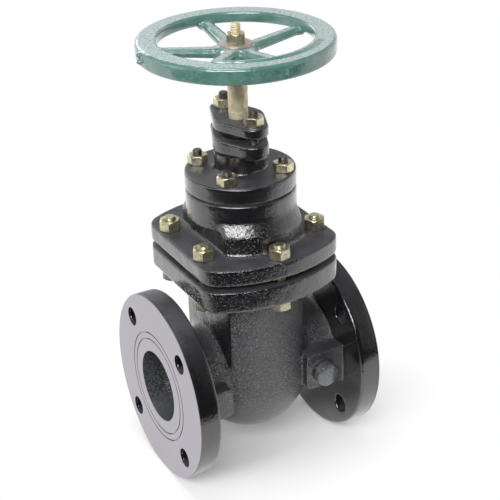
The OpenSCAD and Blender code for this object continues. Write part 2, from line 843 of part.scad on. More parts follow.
module handwheel() {
    color("#4f7d70") difference() {
        translate([stem_x, 0, 0]) {
            translate([0, 0, rim_z]) rotate_extrude($fn = 180) rim_section();
            translate([0, 0, hub_z]) cylinder(d = hub_d, h = hub_h);
            for (i = [0 : back_spokes - 1]) {
                rotate(spoke_turn + i * back_step) spoke();
            }
            for (i = [1 : front_spokes]) {
                rotate(spoke_turn + (back_spokes - 1) * back_step + i * front_step) spoke();
            }
        }
        translate([stem_x - square_w / 2 - fit_gap, -square_w / 2 - fit_gap, hub_z - over])
            cube([square_w + 2 * fit_gap, square_w + 2 * fit_gap, hub_h + 2 * over]);
    }
}

module handwheel_washer() {
    color("#9c8a72") translate([stem_x, 0, hub_top])
        ring(washer_d / 2, stem_end_d / 2 + fit_gap, washer_t);
}

module handwheel_nut() {
    color("#c9c08a") translate([stem_x, 0, wheel_nut_z]) nut(wheel_nut_af, wheel_nut_h, stem_end_d);
}

body();
inlet_seat_ring();
outlet_seat_ring();
bonnet_gasket();
bonnet();
bonnet_bolts();
bonnet_nuts();
stuffing_box_gasket();
stuffing_box();
stuffing_box_studs();
stuffing_box_nuts();
packing();
gland();
gland_studs();
gland_nuts();
wedge();
wedge_rings();
wedge_nut();
stem();
handwheel();
handwheel_washer();
handwheel_nut();
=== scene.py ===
"""Looks of a flanged iron gate valve. Laid out as a Blender add-on and run as a script."""

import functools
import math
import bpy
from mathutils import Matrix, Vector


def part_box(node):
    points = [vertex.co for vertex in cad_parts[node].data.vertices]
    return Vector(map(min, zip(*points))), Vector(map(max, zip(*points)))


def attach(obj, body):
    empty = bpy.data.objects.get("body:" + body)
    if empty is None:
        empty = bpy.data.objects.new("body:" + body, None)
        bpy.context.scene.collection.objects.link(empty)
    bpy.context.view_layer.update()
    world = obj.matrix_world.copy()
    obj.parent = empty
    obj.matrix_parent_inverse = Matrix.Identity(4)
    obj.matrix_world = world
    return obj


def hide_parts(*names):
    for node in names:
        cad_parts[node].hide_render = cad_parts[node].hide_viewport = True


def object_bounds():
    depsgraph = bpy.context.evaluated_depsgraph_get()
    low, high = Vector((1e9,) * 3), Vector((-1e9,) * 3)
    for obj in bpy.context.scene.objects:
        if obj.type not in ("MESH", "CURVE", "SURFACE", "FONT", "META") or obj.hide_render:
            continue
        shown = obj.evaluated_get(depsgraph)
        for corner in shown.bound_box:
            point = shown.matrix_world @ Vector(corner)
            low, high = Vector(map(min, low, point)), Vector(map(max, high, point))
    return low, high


bl_info = {
    "name": "Flanged gate valve",
    "version": (1, 0, 0),
    "blender": (4, 5, 0),
    "location": "3D View > Sidebar > Valve",
    "description": "Dresses the packed gate valve with its finishes, fasteners and handwheel",
    "category": "Object",
}

import bmesh
import bpy
from bpy.props import FloatProperty, FloatVectorProperty, IntProperty
from mathutils import Matrix, Vector

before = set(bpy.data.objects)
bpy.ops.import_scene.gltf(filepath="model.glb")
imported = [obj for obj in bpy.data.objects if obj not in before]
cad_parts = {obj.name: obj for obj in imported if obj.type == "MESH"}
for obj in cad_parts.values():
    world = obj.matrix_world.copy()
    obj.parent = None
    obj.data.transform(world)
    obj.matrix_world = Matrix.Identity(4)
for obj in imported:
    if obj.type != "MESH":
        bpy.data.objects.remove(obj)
CAD_BOX = [list(corner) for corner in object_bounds()]
MM = 0.001
# The stem's axis along the pipe, and the pipe's axis at height 0, are the valve's two axes
STEM_X = sum(corner[0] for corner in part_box("stem")) / 2
HALF_LENGTH = (CAD_BOX[1][0] - CAD_BOX[0][0]) / 2


# ---------------------------------------------------------------- nodes

def hexcolour(text):
    """An sRGB hex value as a linear colour with alpha."""
    channels = [int(text[i:i + 2], 16) / 255 for i in (1, 3, 5)]
    return tuple(c / 12.92 if c <= 0.04045 else ((c + 0.055) / 1.055) ** 2.4 for c in channels) + (1,)


def fill(tree, node, inputs):
    """Gives a node its inputs: a socket is linked, and anything else is a constant."""
    for name, value in inputs.items():
        if isinstance(value, bpy.types.NodeSocket):
            tree.links.new(value, node.inputs[name])
        else:
            node.inputs[name].default_value = value


def add(tree, kind, settings=None, inputs=None):
    """Adds a node with its settings and its inputs."""
    node = tree.nodes.new(kind)
    for name, value in (settings or {}).items():
        setattr(node, name, value)
    fill(tree, node, inputs or {})
    return node


def maths(tree, operation, *values):
    """One step of arithmetic."""
    return add(tree, "ShaderNodeMath", {"operation": operation}, dict(enumerate(values))).outputs[0]


def product(tree, *values):
    """The values multiplied."""
    return functools.reduce(lambda first, second: maths(tree, "MULTIPLY", first, second), values)


def total(tree, *values):
    """The values added up."""
    return functools.reduce(lambda first, second: maths(tree, "ADD", first, second), values)


def bounded(tree, value, low, high, out_low=0.0, out_high=1.0):
    """value taken from one range to another, and held inside it."""
    return add(tree, "ShaderNodeMapRange", {"clamp": True}, {
        "Value": value, "From Min": low, "From Max": high,
        "To Min": out_low, "To Max": out_high}).outputs["Result"]


def xyz(tree, value):
    """A vector's X, Y and Z."""
    return add(tree, "ShaderNodeSeparateXYZ", None, {0: value}).outputs


def vector(tree, x=0.0, y=0.0, z=0.0):
    """A vector made of three values."""
    return add(tree, "ShaderNodeCombineXYZ", None, {"X": x, "Y": y, "Z": z}).outputs[0]


def from_axis(tree, first, second):
    """Distance from an axis, from the two coordinates across it."""
    return maths(tree, "SQRT", total(
        tree, maths(tree, "POWER", first, 2.0), maths(tree, "POWER", second, 2.0)))


def grain(tree, place, size, detail=2.0, rough=0.5):
    """Noise whose features are about as wide as size, in metres."""
    return add(tree, "ShaderNodeTexNoise", None, {
        "Vector": place, "Scale": 1 / size, "Detail": detail, "Roughness": rough}).outputs["Fac"]


def blend(tree, factor, first, second):
    """Colour mixed between first and second."""
    node = add(tree, "ShaderNodeMix", {"data_type": "RGBA"}, {"Factor": factor, 6: first, 7: second})
    return node.outputs[2]


def relief(tree, height, distance, strength=1.0, under=None):
    """Bump from a height, over another normal."""
    inputs = {"Height": height, "Distance": distance, "Strength": strength}
    if under is not None:
        inputs["Normal"] = under
    return add(tree, "ShaderNodeBump", None, inputs).outputs["Normal"]


# ---------------------------------------------------------------- sizes and settings

class FastenerSizes(bpy.types.PropertyGroup):
    """Sizes of the bolts, studs and nuts."""
    bolt_x: FloatProperty(
        name="Corner bolts along", default=61.2 * MM, unit="LENGTH",
        description="Corner bolts of the bonnet joint, from the stem along the pipe")
    bolt_y: FloatProperty(
        name="Corner bolts across", default=36.5 * MM, unit="LENGTH",
        description="Corner bolts of the bonnet joint, from the stem across the pipe")
    bolt_mid: FloatProperty(
        name="Middle bolts", default=73 * MM, unit="LENGTH",
        description="Middle bolts of the bonnet joint, from the stem across the pipe")
    bolt_d: FloatProperty(
        name="Bolt", default=12 * MM, unit="LENGTH", description="Diameter of the bonnet bolts")
    bolt_flats: FloatProperty(
        name="Bolt flats", default=19.2 * MM, unit="LENGTH",
        description="Bonnet bolts' heads and nuts, across their flats")
    bolt_head: FloatProperty(
        name="Bolt head", default=9 * MM, unit="LENGTH", description="Height of the bolts' heads")
    bolt_pitch: FloatProperty(
        name="Bolt pitch", default=1.75 * MM, unit="LENGTH",
        description="Thread pitch of the bonnet bolts")
    box_studs: IntProperty(name="Box studs", default=4, description="Studs that hold the stuffing box")
    box_circle: FloatProperty(
        name="Box stud circle", default=86 * MM, unit="LENGTH",
        description="Diameter of the stuffing box studs' circle")
    gland_circle: FloatProperty(
        name="Gland stud circle", default=59 * MM, unit="LENGTH",
        description="Distance between the two gland studs")
    stud_d: FloatProperty(
        name="Stud", default=9.5 * MM, unit="LENGTH", description="Diameter of the studs")
    stud_flats: FloatProperty(
        name="Stud nut flats", default=17.6 * MM, unit="LENGTH",
        description="Nuts of the studs, across their flats")
    stud_pitch: FloatProperty(
        name="Stud pitch", default=1.5 * MM, unit="LENGTH", description="Thread pitch of the studs")
    thread_depth: FloatProperty(
        name="Thread depth", default=0.85 * MM, unit="LENGTH",
        description="Depth of the bolts' rolled threads")
    play: FloatProperty(
        name="Play", default=0.2 * MM, unit="LENGTH",
        description="How much wider a nut's bore is than its bolt")
    uneven: FloatProperty(
        name="Uneven turn", default=math.radians(24), subtype="ANGLE",
        description="How far the nuts are turned from each other")


class StemSizes(bpy.types.PropertyGroup):
    """Sizes of the stem and of what holds the handwheel on it."""
    end_d: FloatProperty(
        name="End", default=10 * MM, unit="LENGTH", description="Diameter of the stem's threaded end")
    end_pitch: FloatProperty(
        name="End pitch", default=2.4 * MM, unit="LENGTH",
        description="Pitch of the coarse thread on the stem's end")
    end_depth: FloatProperty(
        name="End thread depth", default=1.1 * MM, unit="LENGTH",
        description="Depth of the thread on the stem's end")
    nut_flats: FloatProperty(
        name="Wheel nut flats", default=16.8 * MM, unit="LENGTH",
        description="The handwheel's nut, across its flats")


class CastSizes(bpy.types.PropertyGroup):
    """Sizes of the skin on the sand castings."""
    grain: FloatProperty(
        name="Sand grain", default=3.2 * MM, unit="LENGTH",
        description="Width of the grain that the sand left")
    relief: FloatProperty(
        name="Grain relief", default=0.3 * MM, unit="LENGTH",
        description="Height of the grain on the rough walls")
    swell: FloatProperty(
        name="Swell", default=18 * MM, unit="LENGTH",
        description="Width of the soft swells of the cast walls")
    swell_relief: FloatProperty(
        name="Swell relief", default=0.4 * MM, unit="LENGTH", description="Height of the soft swells")
    turned: FloatProperty(
        name="Turned depth", default=3 * MM, unit="LENGTH",
        description="Depth of the turned faces' crisp edge")
    boss_x: FloatProperty(
        name="Drain bosses along", default=54 * MM, unit="LENGTH",
        description="Drain bosses, from the stem along the pipe")
    boss_r: FloatProperty(
        name="Drain boss radius", default=12.3 * MM, unit="LENGTH",
        description="Radius of the drain bosses' discs")
    boss_reach: FloatProperty(
        name="Drain boss reach", default=73.3 * MM, unit="LENGTH",
        description="End of the drain bosses, from the pipe's axis")


class WheelSizes(bpy.types.PropertyGroup):
    """Sizes of the handwheel's cast form."""
    rim_width: FloatProperty(
        name="Rim width", default=20.5 * MM, unit="LENGTH", description="Radial width of the rim")
    rim_depth: FloatProperty(
        name="Rim depth", default=16.5 * MM, unit="LENGTH", description="Height of the rim")
    lip: FloatProperty(
        name="Lip", default=1.7 * MM, unit="LENGTH",
        description="Rise of the lip that the mould left on the rim's inner edge")
    hub_r: FloatProperty(
        name="Hub radius", default=18.25 * MM, unit="LENGTH", description="Radius of the hub")
    fillet: FloatProperty(
        name="Fillet", default=5 * MM, unit="LENGTH",
        description="Radius where the spokes run into the hub and the rim")
    grain: FloatProperty(
        name="Mesh grain", default=0.85 * MM, unit="LENGTH",
        description="Size of the faces of the cast wheel's mesh")


class Finishes(bpy.types.PropertyGroup):
    """Colours of the finishes."""
    enamel: FloatVectorProperty(
        name="Black enamel", size=4, subtype="COLOR", default=hexcolour("#151517"),
        description="Colour of the enamel on the iron castings")
    wheel_enamel: FloatVectorProperty(
        name="Green enamel", size=4, subtype="COLOR", default=hexcolour("#618980"),
        description="Colour of the handwheel's enamel")
    zinc: FloatVectorProperty(
        name="Yellow zinc", size=4, subtype="COLOR", default=hexcolour("#f0e9d0"),
        description="Colour of the passivated zinc plating")
    brass: FloatVectorProperty(
        name="Stem brass", size=4, subtype="COLOR", default=hexcolour("#efe6cb"),
        description="Colour of the turned stem")


class Studio(bpy.types.PropertyGroup):
    """Camera and light of the stage."""
    stand: FloatVectorProperty(
        name="Stand", size=3, subtype="TRANSLATION", default=(-0.43794, -1.01997, 0.72129),
        description="Place of the camera")
    azimuth: FloatProperty(
        name="Azimuth", default=math.radians(-28.30), subtype="ANGLE",
        description="Turn of the camera round the valve")
    elevation: FloatProperty(
        name="Elevation", default=math.radians(25.13), subtype="ANGLE",
        description="Height of the camera over the horizon")
    roll: FloatProperty(
        name="Roll", default=math.radians(-1.80), subtype="ANGLE",
        description="Tilt of the camera about its own axis")
    lens: FloatProperty(name="Lens", default=93.89, description="Focal length in millimetres")
    shift: FloatProperty(name="Shift", default=-0.1, description="Lens shift up or down")
    key: FloatProperty(
        name="Key light", default=9.0, unit="POWER", description="Power that the soft boxes share")
    fill: FloatProperty(name="Fill", default=0.25, description="Strength of the room's even light")


# ---------------------------------------------------------------- finishes

def shader(name):
    """A new material, its node tree, its Principled shader and Object coordinates."""
    material = bpy.data.materials.new(name)
    material.use_nodes = True
    tree = material.node_tree
    place = add(tree, "ShaderNodeTexCoord").outputs["Object"]
    return material, tree, tree.nodes["Principled BSDF"], place


def sand_cast_enamel(colours):
    """Glossy black enamel brushed over sand-cast iron. The sand grain stands through it on the
    chamber, necks and pads, where its tips catch the light; the flange rims are smooth, and the
    two end faces are turned bare."""
    material, tree, surface, place = shader("Black enamel over sand-cast iron")
    axes = xyz(tree, place)
    facing = xyz(tree, add(tree, "ShaderNodeNewGeometry").outputs["Normal"])
    from_stem = maths(tree, "ABSOLUTE", maths(tree, "SUBTRACT", axes["X"], STEM_X))
    from_pipe = from_axis(tree, axes["Y"], axes["Z"])
    turned = bounded(tree, from_stem, HALF_LENGTH - 0.5 * MM, HALF_LENGTH - 0.1 * MM)
    between_ends = bounded(tree, from_stem, 76 * MM, 81 * MM, 1.0, 0.05)
    deck = bounded(tree, facing["Z"], 0.6, 0.95)
    boss = product(
        tree, between_ends,
        bounded(tree, maths(tree, "ABSOLUTE", axes["Y"]), 65.5 * MM, 68 * MM),
        bounded(tree, maths(tree, "ABSOLUTE", axes["Z"]), 16 * MM, 13 * MM))
    # Rough from the sand: the chamber, necks and pads. It is calmer above them, on the bowl, on
    # the flanges' inner walls, the bosses and the decks
    rough = product(
        tree, between_ends,
        bounded(tree, axes["Z"], 98 * MM, 104 * MM, 1.0, 0.17),
        bounded(tree, axes["Z"], -55 * MM, 0.0, 0.15, 1.0),
        bounded(tree, maths(tree, "ABSOLUTE", facing["X"]), 0.75, 0.92, 1.0, 0.15),
        bounded(tree, boss, 0.0, 1.0, 1.0, 0.05),
        bounded(tree, deck, 0.0, 1.0, 1.0, 0.8))
    # Painted reflection: the rough walls along the pipe, which mirror the pale floor, are painted a paler
    # grey; less on the necks and above the joint flange
    wall_sheen = product(
        tree, rough,
        bounded(tree, maths(tree, "ABSOLUTE", facing["Y"]), 0.3, 0.75),
        bounded(tree, from_stem, 55 * MM, 66 * MM, 1.0, 0.45),
        bounded(tree, axes["Z"], 98 * MM, 104 * MM, 1.0, 0.6))
    sand = grain(tree, place, 2.0 * MM, 3, 0.65)
    swell = grain(tree, place, 14 * MM, 2)

    # Painted reflection of the floor, on the walls along the pipe
    colour = blend(tree, wall_sheen, colours.enamel, hexcolour("#3a363b"))
    # Painted reflection: the bottom of the bowl and the drain bosses' ends are painted a paler grey, for
    # the white floor that they mirror
    lightened = maths(tree, "MAXIMUM", boss, product(
        tree, between_ends, bounded(tree, axes["Z"], -25 * MM, -70 * MM)))
    colour = blend(tree, product(tree, lightened, 0.8), colour, hexcolour("#5d6064"))
    # Painted shade: the hollows of the sand grain are painted near black
    shaded_pits = product(tree, bounded(tree, sand, 0.47, 0.4), total(tree, wall_sheen, 0.3))
    colour = blend(tree, shaded_pits, colour, hexcolour("#131215"))
    # Pale tips of the sand grain: painted glints, with the enamel worn off them too
    tips = product(tree, bounded(tree, sand, 0.57, 0.7), wall_sheen, 0.6)
    colour = blend(tree, tips, colour, hexcolour("#8f8b91"))
    # Painted sheen: the decks that face up are painted a paler grey in soft patches, where they catch the
    # soft boxes
    deck_sheen = product(tree, deck, bounded(tree, swell, 0.3, 0.7, 0.4, 0.8))
    colour = blend(tree, deck_sheen, colour, hexcolour("#515157"))
    # The bore is coated too. Painted glints: its wall is painted grey in specks that follow the sand
    # grain
    bore = product(tree, bounded(tree, from_pipe, 37.8 * MM, 36.8 * MM),
                   bounded(tree, sand, 0.42, 0.62, 0.3, 1.0))
    colour = blend(tree, bore, colour, hexcolour("#5b5e60"))
    iron = blend(tree, grain(tree, place, 1.0 * MM, 2), hexcolour("#a9a5ac"), hexcolour("#c2bec6"))
    gloss = total(tree, bounded(tree, sand, 0.3, 0.75, 0.07, 0.17),
                  product(tree, rough, 0.08), product(tree, deck, 0.34))

    swells = relief(tree, swell, 0.8 * MM, 0.4)
    # Single grains stand up under the enamel and glint, thickest at the foot of the bonnet's
    # neck and rare above it
    dots = add(tree, "ShaderNodeTexVoronoi", None, {"Vector": place, "Scale": 1 / (2.2 * MM)})
    flecks = product(
        tree, bounded(tree, dots.outputs["Distance"], 0.36, 0.08),
        bounded(tree, between_ends, 0.05, 1.0, 0.03, 1.0),
        bounded(tree, axes["Z"], 147 * MM, 150 * MM, 1.0, 1.8),
        bounded(tree, axes["Z"], 165 * MM, 180 * MM, 1.0, 0.16))
    flecked = relief(tree, flecks, 0.24 * MM, 1.0, swells)
    height = product(tree, sand, total(tree, rough, 0.04))
    coated = relief(tree, height, 2.6 * MM, 1.0, flecked)
    # Turned faces carry the tool's fine rings about the pipe
    rings = maths(tree, "SINE", product(tree, from_pipe, 2 * math.pi / (1.6 * MM)))
    bare = relief(tree, rings, 0.02 * MM, 0.5)
    fill(tree, surface, {
        "Base Color": blend(tree, turned, colour, iron),
        "Roughness": add(tree, "ShaderNodeMix", {"data_type": "FLOAT"}, {
            0: turned, 2: gloss, 3: 0.36}).outputs[0],
        "Metallic": turned,
        "Normal": add(tree, "ShaderNodeMix", {"data_type": "VECTOR"}, {
            0: turned, 4: coated, 5: bare}).outputs[1],
        # The enamel's own skin lies smoother than the sand under it
        "Coat Normal": relief(tree, height, 1.6 * MM, 0.9, flecked),
        "Coat Weight": product(tree, maths(tree, "SUBTRACT", 1.0, turned),
                               bounded(tree, deck, 0.0, 1.0, 1.0, 0.12)),
        "Coat Roughness": bounded(tree, deck, 0.0, 1.0, 0.05, 0.4),
        "Coat IOR": 1.75})
    return material


def wheel_enamel(colours):
    """Glossy teal-green enamel over a cast wheel: thick and even, with soft swells and a little
    grain. The flat top of the rim is paler: wear, and a painted sheen where it faces straight up."""
    material, tree, surface, place = shader("Green enamel over cast iron")
    up = xyz(tree, add(tree, "ShaderNodeNewGeometry").outputs["Normal"])["Z"]
    swell = grain(tree, place, 14 * MM, 3)
    fine = grain(tree, place, 1.6 * MM, 3)
    base = blend(tree, bounded(tree, swell, 0.3, 0.7), colours.wheel_enamel, hexcolour("#4b766d"))
    brushed = add(tree, "ShaderNodeMapping", None, {"Vector": place, "Scale": (0.35, 1.6, 1.0)})
    streak = grain(tree, brushed.outputs[0], 1.3 * MM, 3, 0.7)
    # Painted sheen and wear: faces that point straight up are painted pale in streaks, with a thinner,
    # rougher coat
    lightened = product(tree, bounded(tree, up, 0.965, 0.992), bounded(tree, streak, 0.4, 0.58, 0.2, 1.0))
    swells = relief(tree, swell, 1.4 * MM, 0.6)
    specks = bounded(tree, grain(tree, place, 2.2 * MM, 3, 0.65), 0.57, 0.67)
    fill(tree, surface, {
        "Base Color": blend(tree, lightened, base, hexcolour("#b9c9ca")),
        "Roughness": total(tree, bounded(tree, fine, 0.3, 0.8, 0.14, 0.26), product(tree, lightened, 0.2)),
        "Normal": relief(tree, fine, 0.25 * MM, 0.6, swells),
        "Coat Normal": relief(tree, specks, 0.5 * MM, 1.0, swells),
        "Coat Weight": bounded(tree, lightened, 0.0, 1.0, 1.0, 0.2),
        "Coat Roughness": 0.05,
        "Coat IOR": 1.65})
    return material


def yellow_zinc(colours):
    """Steel with yellow passivated zinc, machined: satin metal whose colour drifts from straw to
    olive and brown in small patches."""
    material, tree, surface, place = shader("Yellow zinc plated steel, machined")
    drift = grain(tree, place, 5 * MM, 3)
    stain = grain(tree, place, 1.8 * MM, 3)
    straw = blend(tree, bounded(tree, drift, 0.3, 0.7), colours.zinc, hexcolour("#cfc79f"))
    eased = add(tree, "ShaderNodeBevel", {"samples": 6}, {"Radius": 0.45 * MM}).outputs["Normal"]
    fill(tree, surface, {
        "Base Color": blend(tree, bounded(tree, stain, 0.56, 0.78), straw, hexcolour("#7a6c4c")),
        "Roughness": bounded(tree, stain, 0.2, 0.8, 0.26, 0.46),
        "Normal": relief(tree, stain, 0.12 * MM, 0.6, eased),
        "Metallic": 1.0})
    return material


def dark_steel():
    """Studs of black oiled steel: dark metal with a dull sheen."""
    material, tree, surface, place = shader("Black oiled steel, rolled thread")
    oil = grain(tree, place, 3 * MM, 3)
    fill(tree, surface, {
        "Base Color": blend(tree, oil, hexcolour("#55514c"), hexcolour("#8a847b")),
        "Roughness": bounded(tree, oil, 0.3, 0.7, 0.3, 0.5),
        "Metallic": 1.0})
    return material


def turned_brass(colours):
    """Turned brass stem: a warm satin metal with fine tool rings round its axis."""
    material, tree, surface, place = shader("Brass, turned")
    tarnish = grain(tree, place, 6 * MM, 3)
    rings = maths(tree, "SINE", product(tree, xyz(tree, place)["Z"], 2 * math.pi / (0.7 * MM)))
    fill(tree, surface, {
        "Base Color": blend(
            tree, bounded(tree, tarnish, 0.4, 0.75), colours.brass, hexcolour("#cbbb93")),
        "Roughness": 0.6,
        "Normal": relief(tree, rings, 0.02 * MM, 0.6),
        "Metallic": 0.7})
    return material


def bronze():
    """Turned bronze seats and rings: browner than the stem, with a bright tool finish."""
    material, tree, surface, place = shader("Bronze, turned")
    tarnish = grain(tree, place, 8 * MM, 3)
    fill(tree, surface, {
        "Base Color": blend(tree, tarnish, hexcolour("#a8814a"), hexcolour("#8a6537")),
        "Roughness": 0.33,
        "Metallic": 1.0})
    return material


def bare_iron():
    """The gate of machined cast iron, dark and oiled."""
    material, tree, surface, place = shader("Cast iron, machined and oiled")
    graphite = grain(tree, place, 2.5 * MM, 4)
    fill(tree, surface, {
        "Base Color": blend(tree, graphite, hexcolour("#4a4748"), hexcolour("#656163")),
        "Roughness": bounded(tree, graphite, 0.3, 0.7, 0.35, 0.55),
        "Metallic": 0.9})
    return material


def gasket_sheet():
    """Compressed fibre sheet: matt, dark, with short fibres in its cut edge."""
    material, tree, surface, place = shader("Compressed fibre gasket sheet")
    fibre = grain(tree, place, 0.9 * MM, 4, 0.7)
    fill(tree, surface, {
        "Base Color": blend(tree, fibre, hexcolour("#2c2a28"), hexcolour("#4b4742")),
        "Roughness": 0.85,
        "Normal": relief(tree, fibre, 0.2 * MM, 0.7)})
    return material


def stamped_steel():
    """Passivated steel washer, stamped: a dull pinkish tan metal, worn in patches."""
    material, tree, surface, place = shader("Passivated steel, stamped")
    wear = grain(tree, place, 1.5 * MM, 3)
    fill(tree, surface, {
        "Base Color": blend(tree, wear, hexcolour("#dcd2c8"), hexcolour("#aba095")),
        "Roughness": bounded(tree, wear, 0.3, 0.7, 0.3, 0.48),
        "Metallic": 0.75})
    return material


# ---------------------------------------------------------------- geometry node trees

def new_tree(name, sockets):
    """A geometry tree with named inputs. sockets are (name, kind, default)."""
    tree = bpy.data.node_groups.new(name, "GeometryNodeTree")
    face = tree.interface
    for label, kind, default in sockets:
        socket = face.new_socket(label, in_out="INPUT", socket_type="NodeSocket" + kind)
        if default is not None:
            socket.default_value = default
    face.new_socket("Geometry", in_out="OUTPUT", socket_type="NodeSocketGeometry")
    return tree, tree.nodes.new("NodeGroupInput").outputs, tree.nodes.new("NodeGroupOutput").inputs


def half(tree, value):
    """Half of a value."""
    return maths(tree, "DIVIDE", value, 2.0)


def moved(tree, geometry, **change):
    """Geometry with another Translation or Rotation."""
    return add(tree, "GeometryNodeTransform", None, {"Geometry": geometry, **change}).outputs[0]


def choice(tree, switch, no, yes):
    """One of two geometries."""
    return add(tree, "GeometryNodeSwitch", {"input_type": "GEOMETRY"}, {
        "Switch": switch, "False": no, "True": yes}).outputs[0]


def overlap(tree, *meshes):
    """What the meshes share."""
    node = add(tree, "GeometryNodeMeshBoolean", {"operation": "INTERSECT", "solver": "EXACT"})
    for mesh in meshes:
        tree.links.new(mesh, node.inputs["Mesh 2"])
    return node.outputs[0]


def spread_round(tree, given, piece):
    """Instances of piece on a circle, each with its own small turn, realised and given the finish."""
    step = maths(tree, "DIVIDE", 2 * math.pi, given["Count"])
    index = add(tree, "GeometryNodeInputIndex").outputs[0]
    angle = total(tree, given["First Angle"], product(tree, index, step))
    radius = half(tree, given["Circle Diameter"])
    at = vector(tree, total(tree, given["Stem X"], product(tree, radius, maths(tree, "COSINE", angle))),
                product(tree, radius, maths(tree, "SINE", angle)), given["Base Height"])
    points = add(tree, "GeometryNodePoints", None, {"Count": given["Count"], "Position": at})
    chance = add(tree, "FunctionNodeRandomValue", {"data_type": "FLOAT"}, {
        "Seed": given["Seed"], 2: -0.5, 3: 0.5}).outputs[1]
    own_turn = total(tree, given["Turn"], angle, product(tree, chance, given["Uneven Turn"]))
    spread = add(tree, "GeometryNodeInstanceOnPoints", None, {
        "Points": points.outputs[0], "Instance": piece, "Rotation": vector(tree, z=own_turn)})
    real = add(tree, "GeometryNodeRealizeInstances", None, {0: spread.outputs[0]})
    return add(tree, "GeometryNodeSetMaterial", None, {
        "Geometry": real.outputs[0], "Material": given["Finish"]}).outputs[0]


PLACE_SOCKETS = [
    ("Count", "Int", 1), ("Circle Diameter", "Float", 0.0), ("First Angle", "Float", 0.0),
    ("Stem X", "Float", 0.0), ("Base Height", "Float", 0.0), ("Turn", "Float", 0.0),
    ("Uneven Turn", "Float", 0.0), ("Seed", "Int", 7), ("Finish", "Material", None),
]


def nut_tree():
    """Hexagon nuts or bolt heads on a circle: a hexagon cut by a cone at each end, then bored."""
    tree, given, out = new_tree("Hexagons on a circle", [
        ("Across Flats", "Float", 0.019), ("Height", "Float", 0.01), ("Bore", "Float", 0.012),
        ("Bored", "Bool", True), ("Lower Chamfer", "Bool", True)] + PLACE_SOCKETS)
    slope = math.sqrt(3)
    prism = add(tree, "GeometryNodeMeshCylinder", None, {
        "Vertices": 6, "Radius": maths(tree, "DIVIDE", given["Across Flats"], slope),
        "Depth": given["Height"]}).outputs["Mesh"]
    # The cone's flank falls by 30 degrees, through a circle just inside the flats, and
    # the cone stands past the prism by a hair at both ends
    past = 0.5 * MM
    long = total(tree, given["Height"], 2 * past)
    top = maths(tree, "SUBTRACT", product(tree, given["Across Flats"], 0.475), past * slope)
    cone = add(tree, "GeometryNodeMeshCone", None, {
        "Vertices": 96, "Radius Top": top, "Radius Bottom": total(tree, top, product(tree, long, slope)),
        "Depth": long}).outputs["Mesh"]
    centred = moved(tree, cone, Translation=vector(tree, z=product(tree, long, -0.5)))
    upper = overlap(tree, prism, centred)
    both = overlap(tree, upper, moved(tree, centred, Rotation=(math.pi, 0, 0)))
    hexagon = choice(tree, given["Lower Chamfer"], upper, both)
    drill = add(tree, "GeometryNodeMeshCylinder", None, {
        "Vertices": 48, "Radius": half(tree, given["Bore"]),
        "Depth": product(tree, given["Height"], 2.0)}).outputs["Mesh"]
    bored = add(tree, "GeometryNodeMeshBoolean", {"operation": "DIFFERENCE", "solver": "EXACT"}, {
        "Mesh 1": hexagon, "Mesh 2": drill}).outputs[0]
    piece = choice(tree, given["Bored"], hexagon, bored)
    stood = moved(tree, piece, Translation=vector(tree, z=half(tree, given["Height"])))
    tree.links.new(spread_round(tree, given, stood), out[0])
    return tree


def rod_tree():
    """Threaded rods on a circle: a tube of rows whose radius follows a helix, closed at its ends."""
    tree, given, out = new_tree("Threaded rods on a circle", [
        ("Length", "Float", 0.05), ("Diameter", "Float", 0.01), ("Pitch", "Float", 0.0015),
        ("Thread Depth", "Float", 0.0008), ("Thread From", "Float", 0.0),
        ("End Chamfer", "Float", 0.001)] + PLACE_SOCKETS)
    # Six rows a turn of the thread, and a row more at each end that closes the tube
    turns = maths(tree, "CEIL", maths(tree, "DIVIDE", given["Length"], given["Pitch"]))
    rows = total(tree, product(tree, 6.0, turns), 3.0)
    sheet = add(tree, "GeometryNodeMeshGrid", None, {
        "Size X": 1.0, "Size Y": 1.0, "Vertices X": 33, "Vertices Y": rows}).outputs["Mesh"]
    place = xyz(tree, add(tree, "GeometryNodeInputPosition").outputs[0])
    around = total(tree, place["X"], 0.5)
    along = total(tree, place["Y"], 0.5)
    row = maths(tree, "DIVIDE", 1.0, maths(tree, "SUBTRACT", rows, 1.0))
    height = bounded(tree, along, row, maths(tree, "SUBTRACT", 1.0, row), 0.0, given["Length"])
    wave = product(tree, 2.0, maths(tree, "PINGPONG", maths(
        tree, "SUBTRACT", maths(tree, "DIVIDE", height, given["Pitch"]), around), 0.5))
    depth = bounded(tree, height, given["Thread From"], total(tree, given["Thread From"], given["Pitch"]),
                    0.0, given["Thread Depth"])
    full = half(tree, given["Diameter"])
    radius = maths(tree, "SUBTRACT", full, product(tree, wave, depth))
    to_end = maths(tree, "MINIMUM", height, maths(tree, "SUBTRACT", given["Length"], height))
    taper = total(tree, to_end, maths(tree, "SUBTRACT", full, given["End Chamfer"]))
    edge = product(tree, row, 0.5)
    inside = product(tree, maths(tree, "GREATER_THAN", along, edge),
                     maths(tree, "LESS_THAN", along, maths(tree, "SUBTRACT", 1.0, edge)))
    reach = product(tree, inside, maths(tree, "MINIMUM", radius, taper))
    turn = product(tree, around, 2 * math.pi)
    wrapped = add(tree, "GeometryNodeSetPosition", None, {
        "Geometry": sheet,
        "Position": vector(tree, product(tree, reach, maths(tree, "COSINE", turn)),
                           product(tree, reach, maths(tree, "SINE", turn)), height)}).outputs[0]
    closed = add(tree, "GeometryNodeMergeByDistance", None, {
        "Geometry": wrapped, "Distance": 0.01 * MM}).outputs[0]
    tree.links.new(spread_round(tree, given, closed), out[0])
    return tree


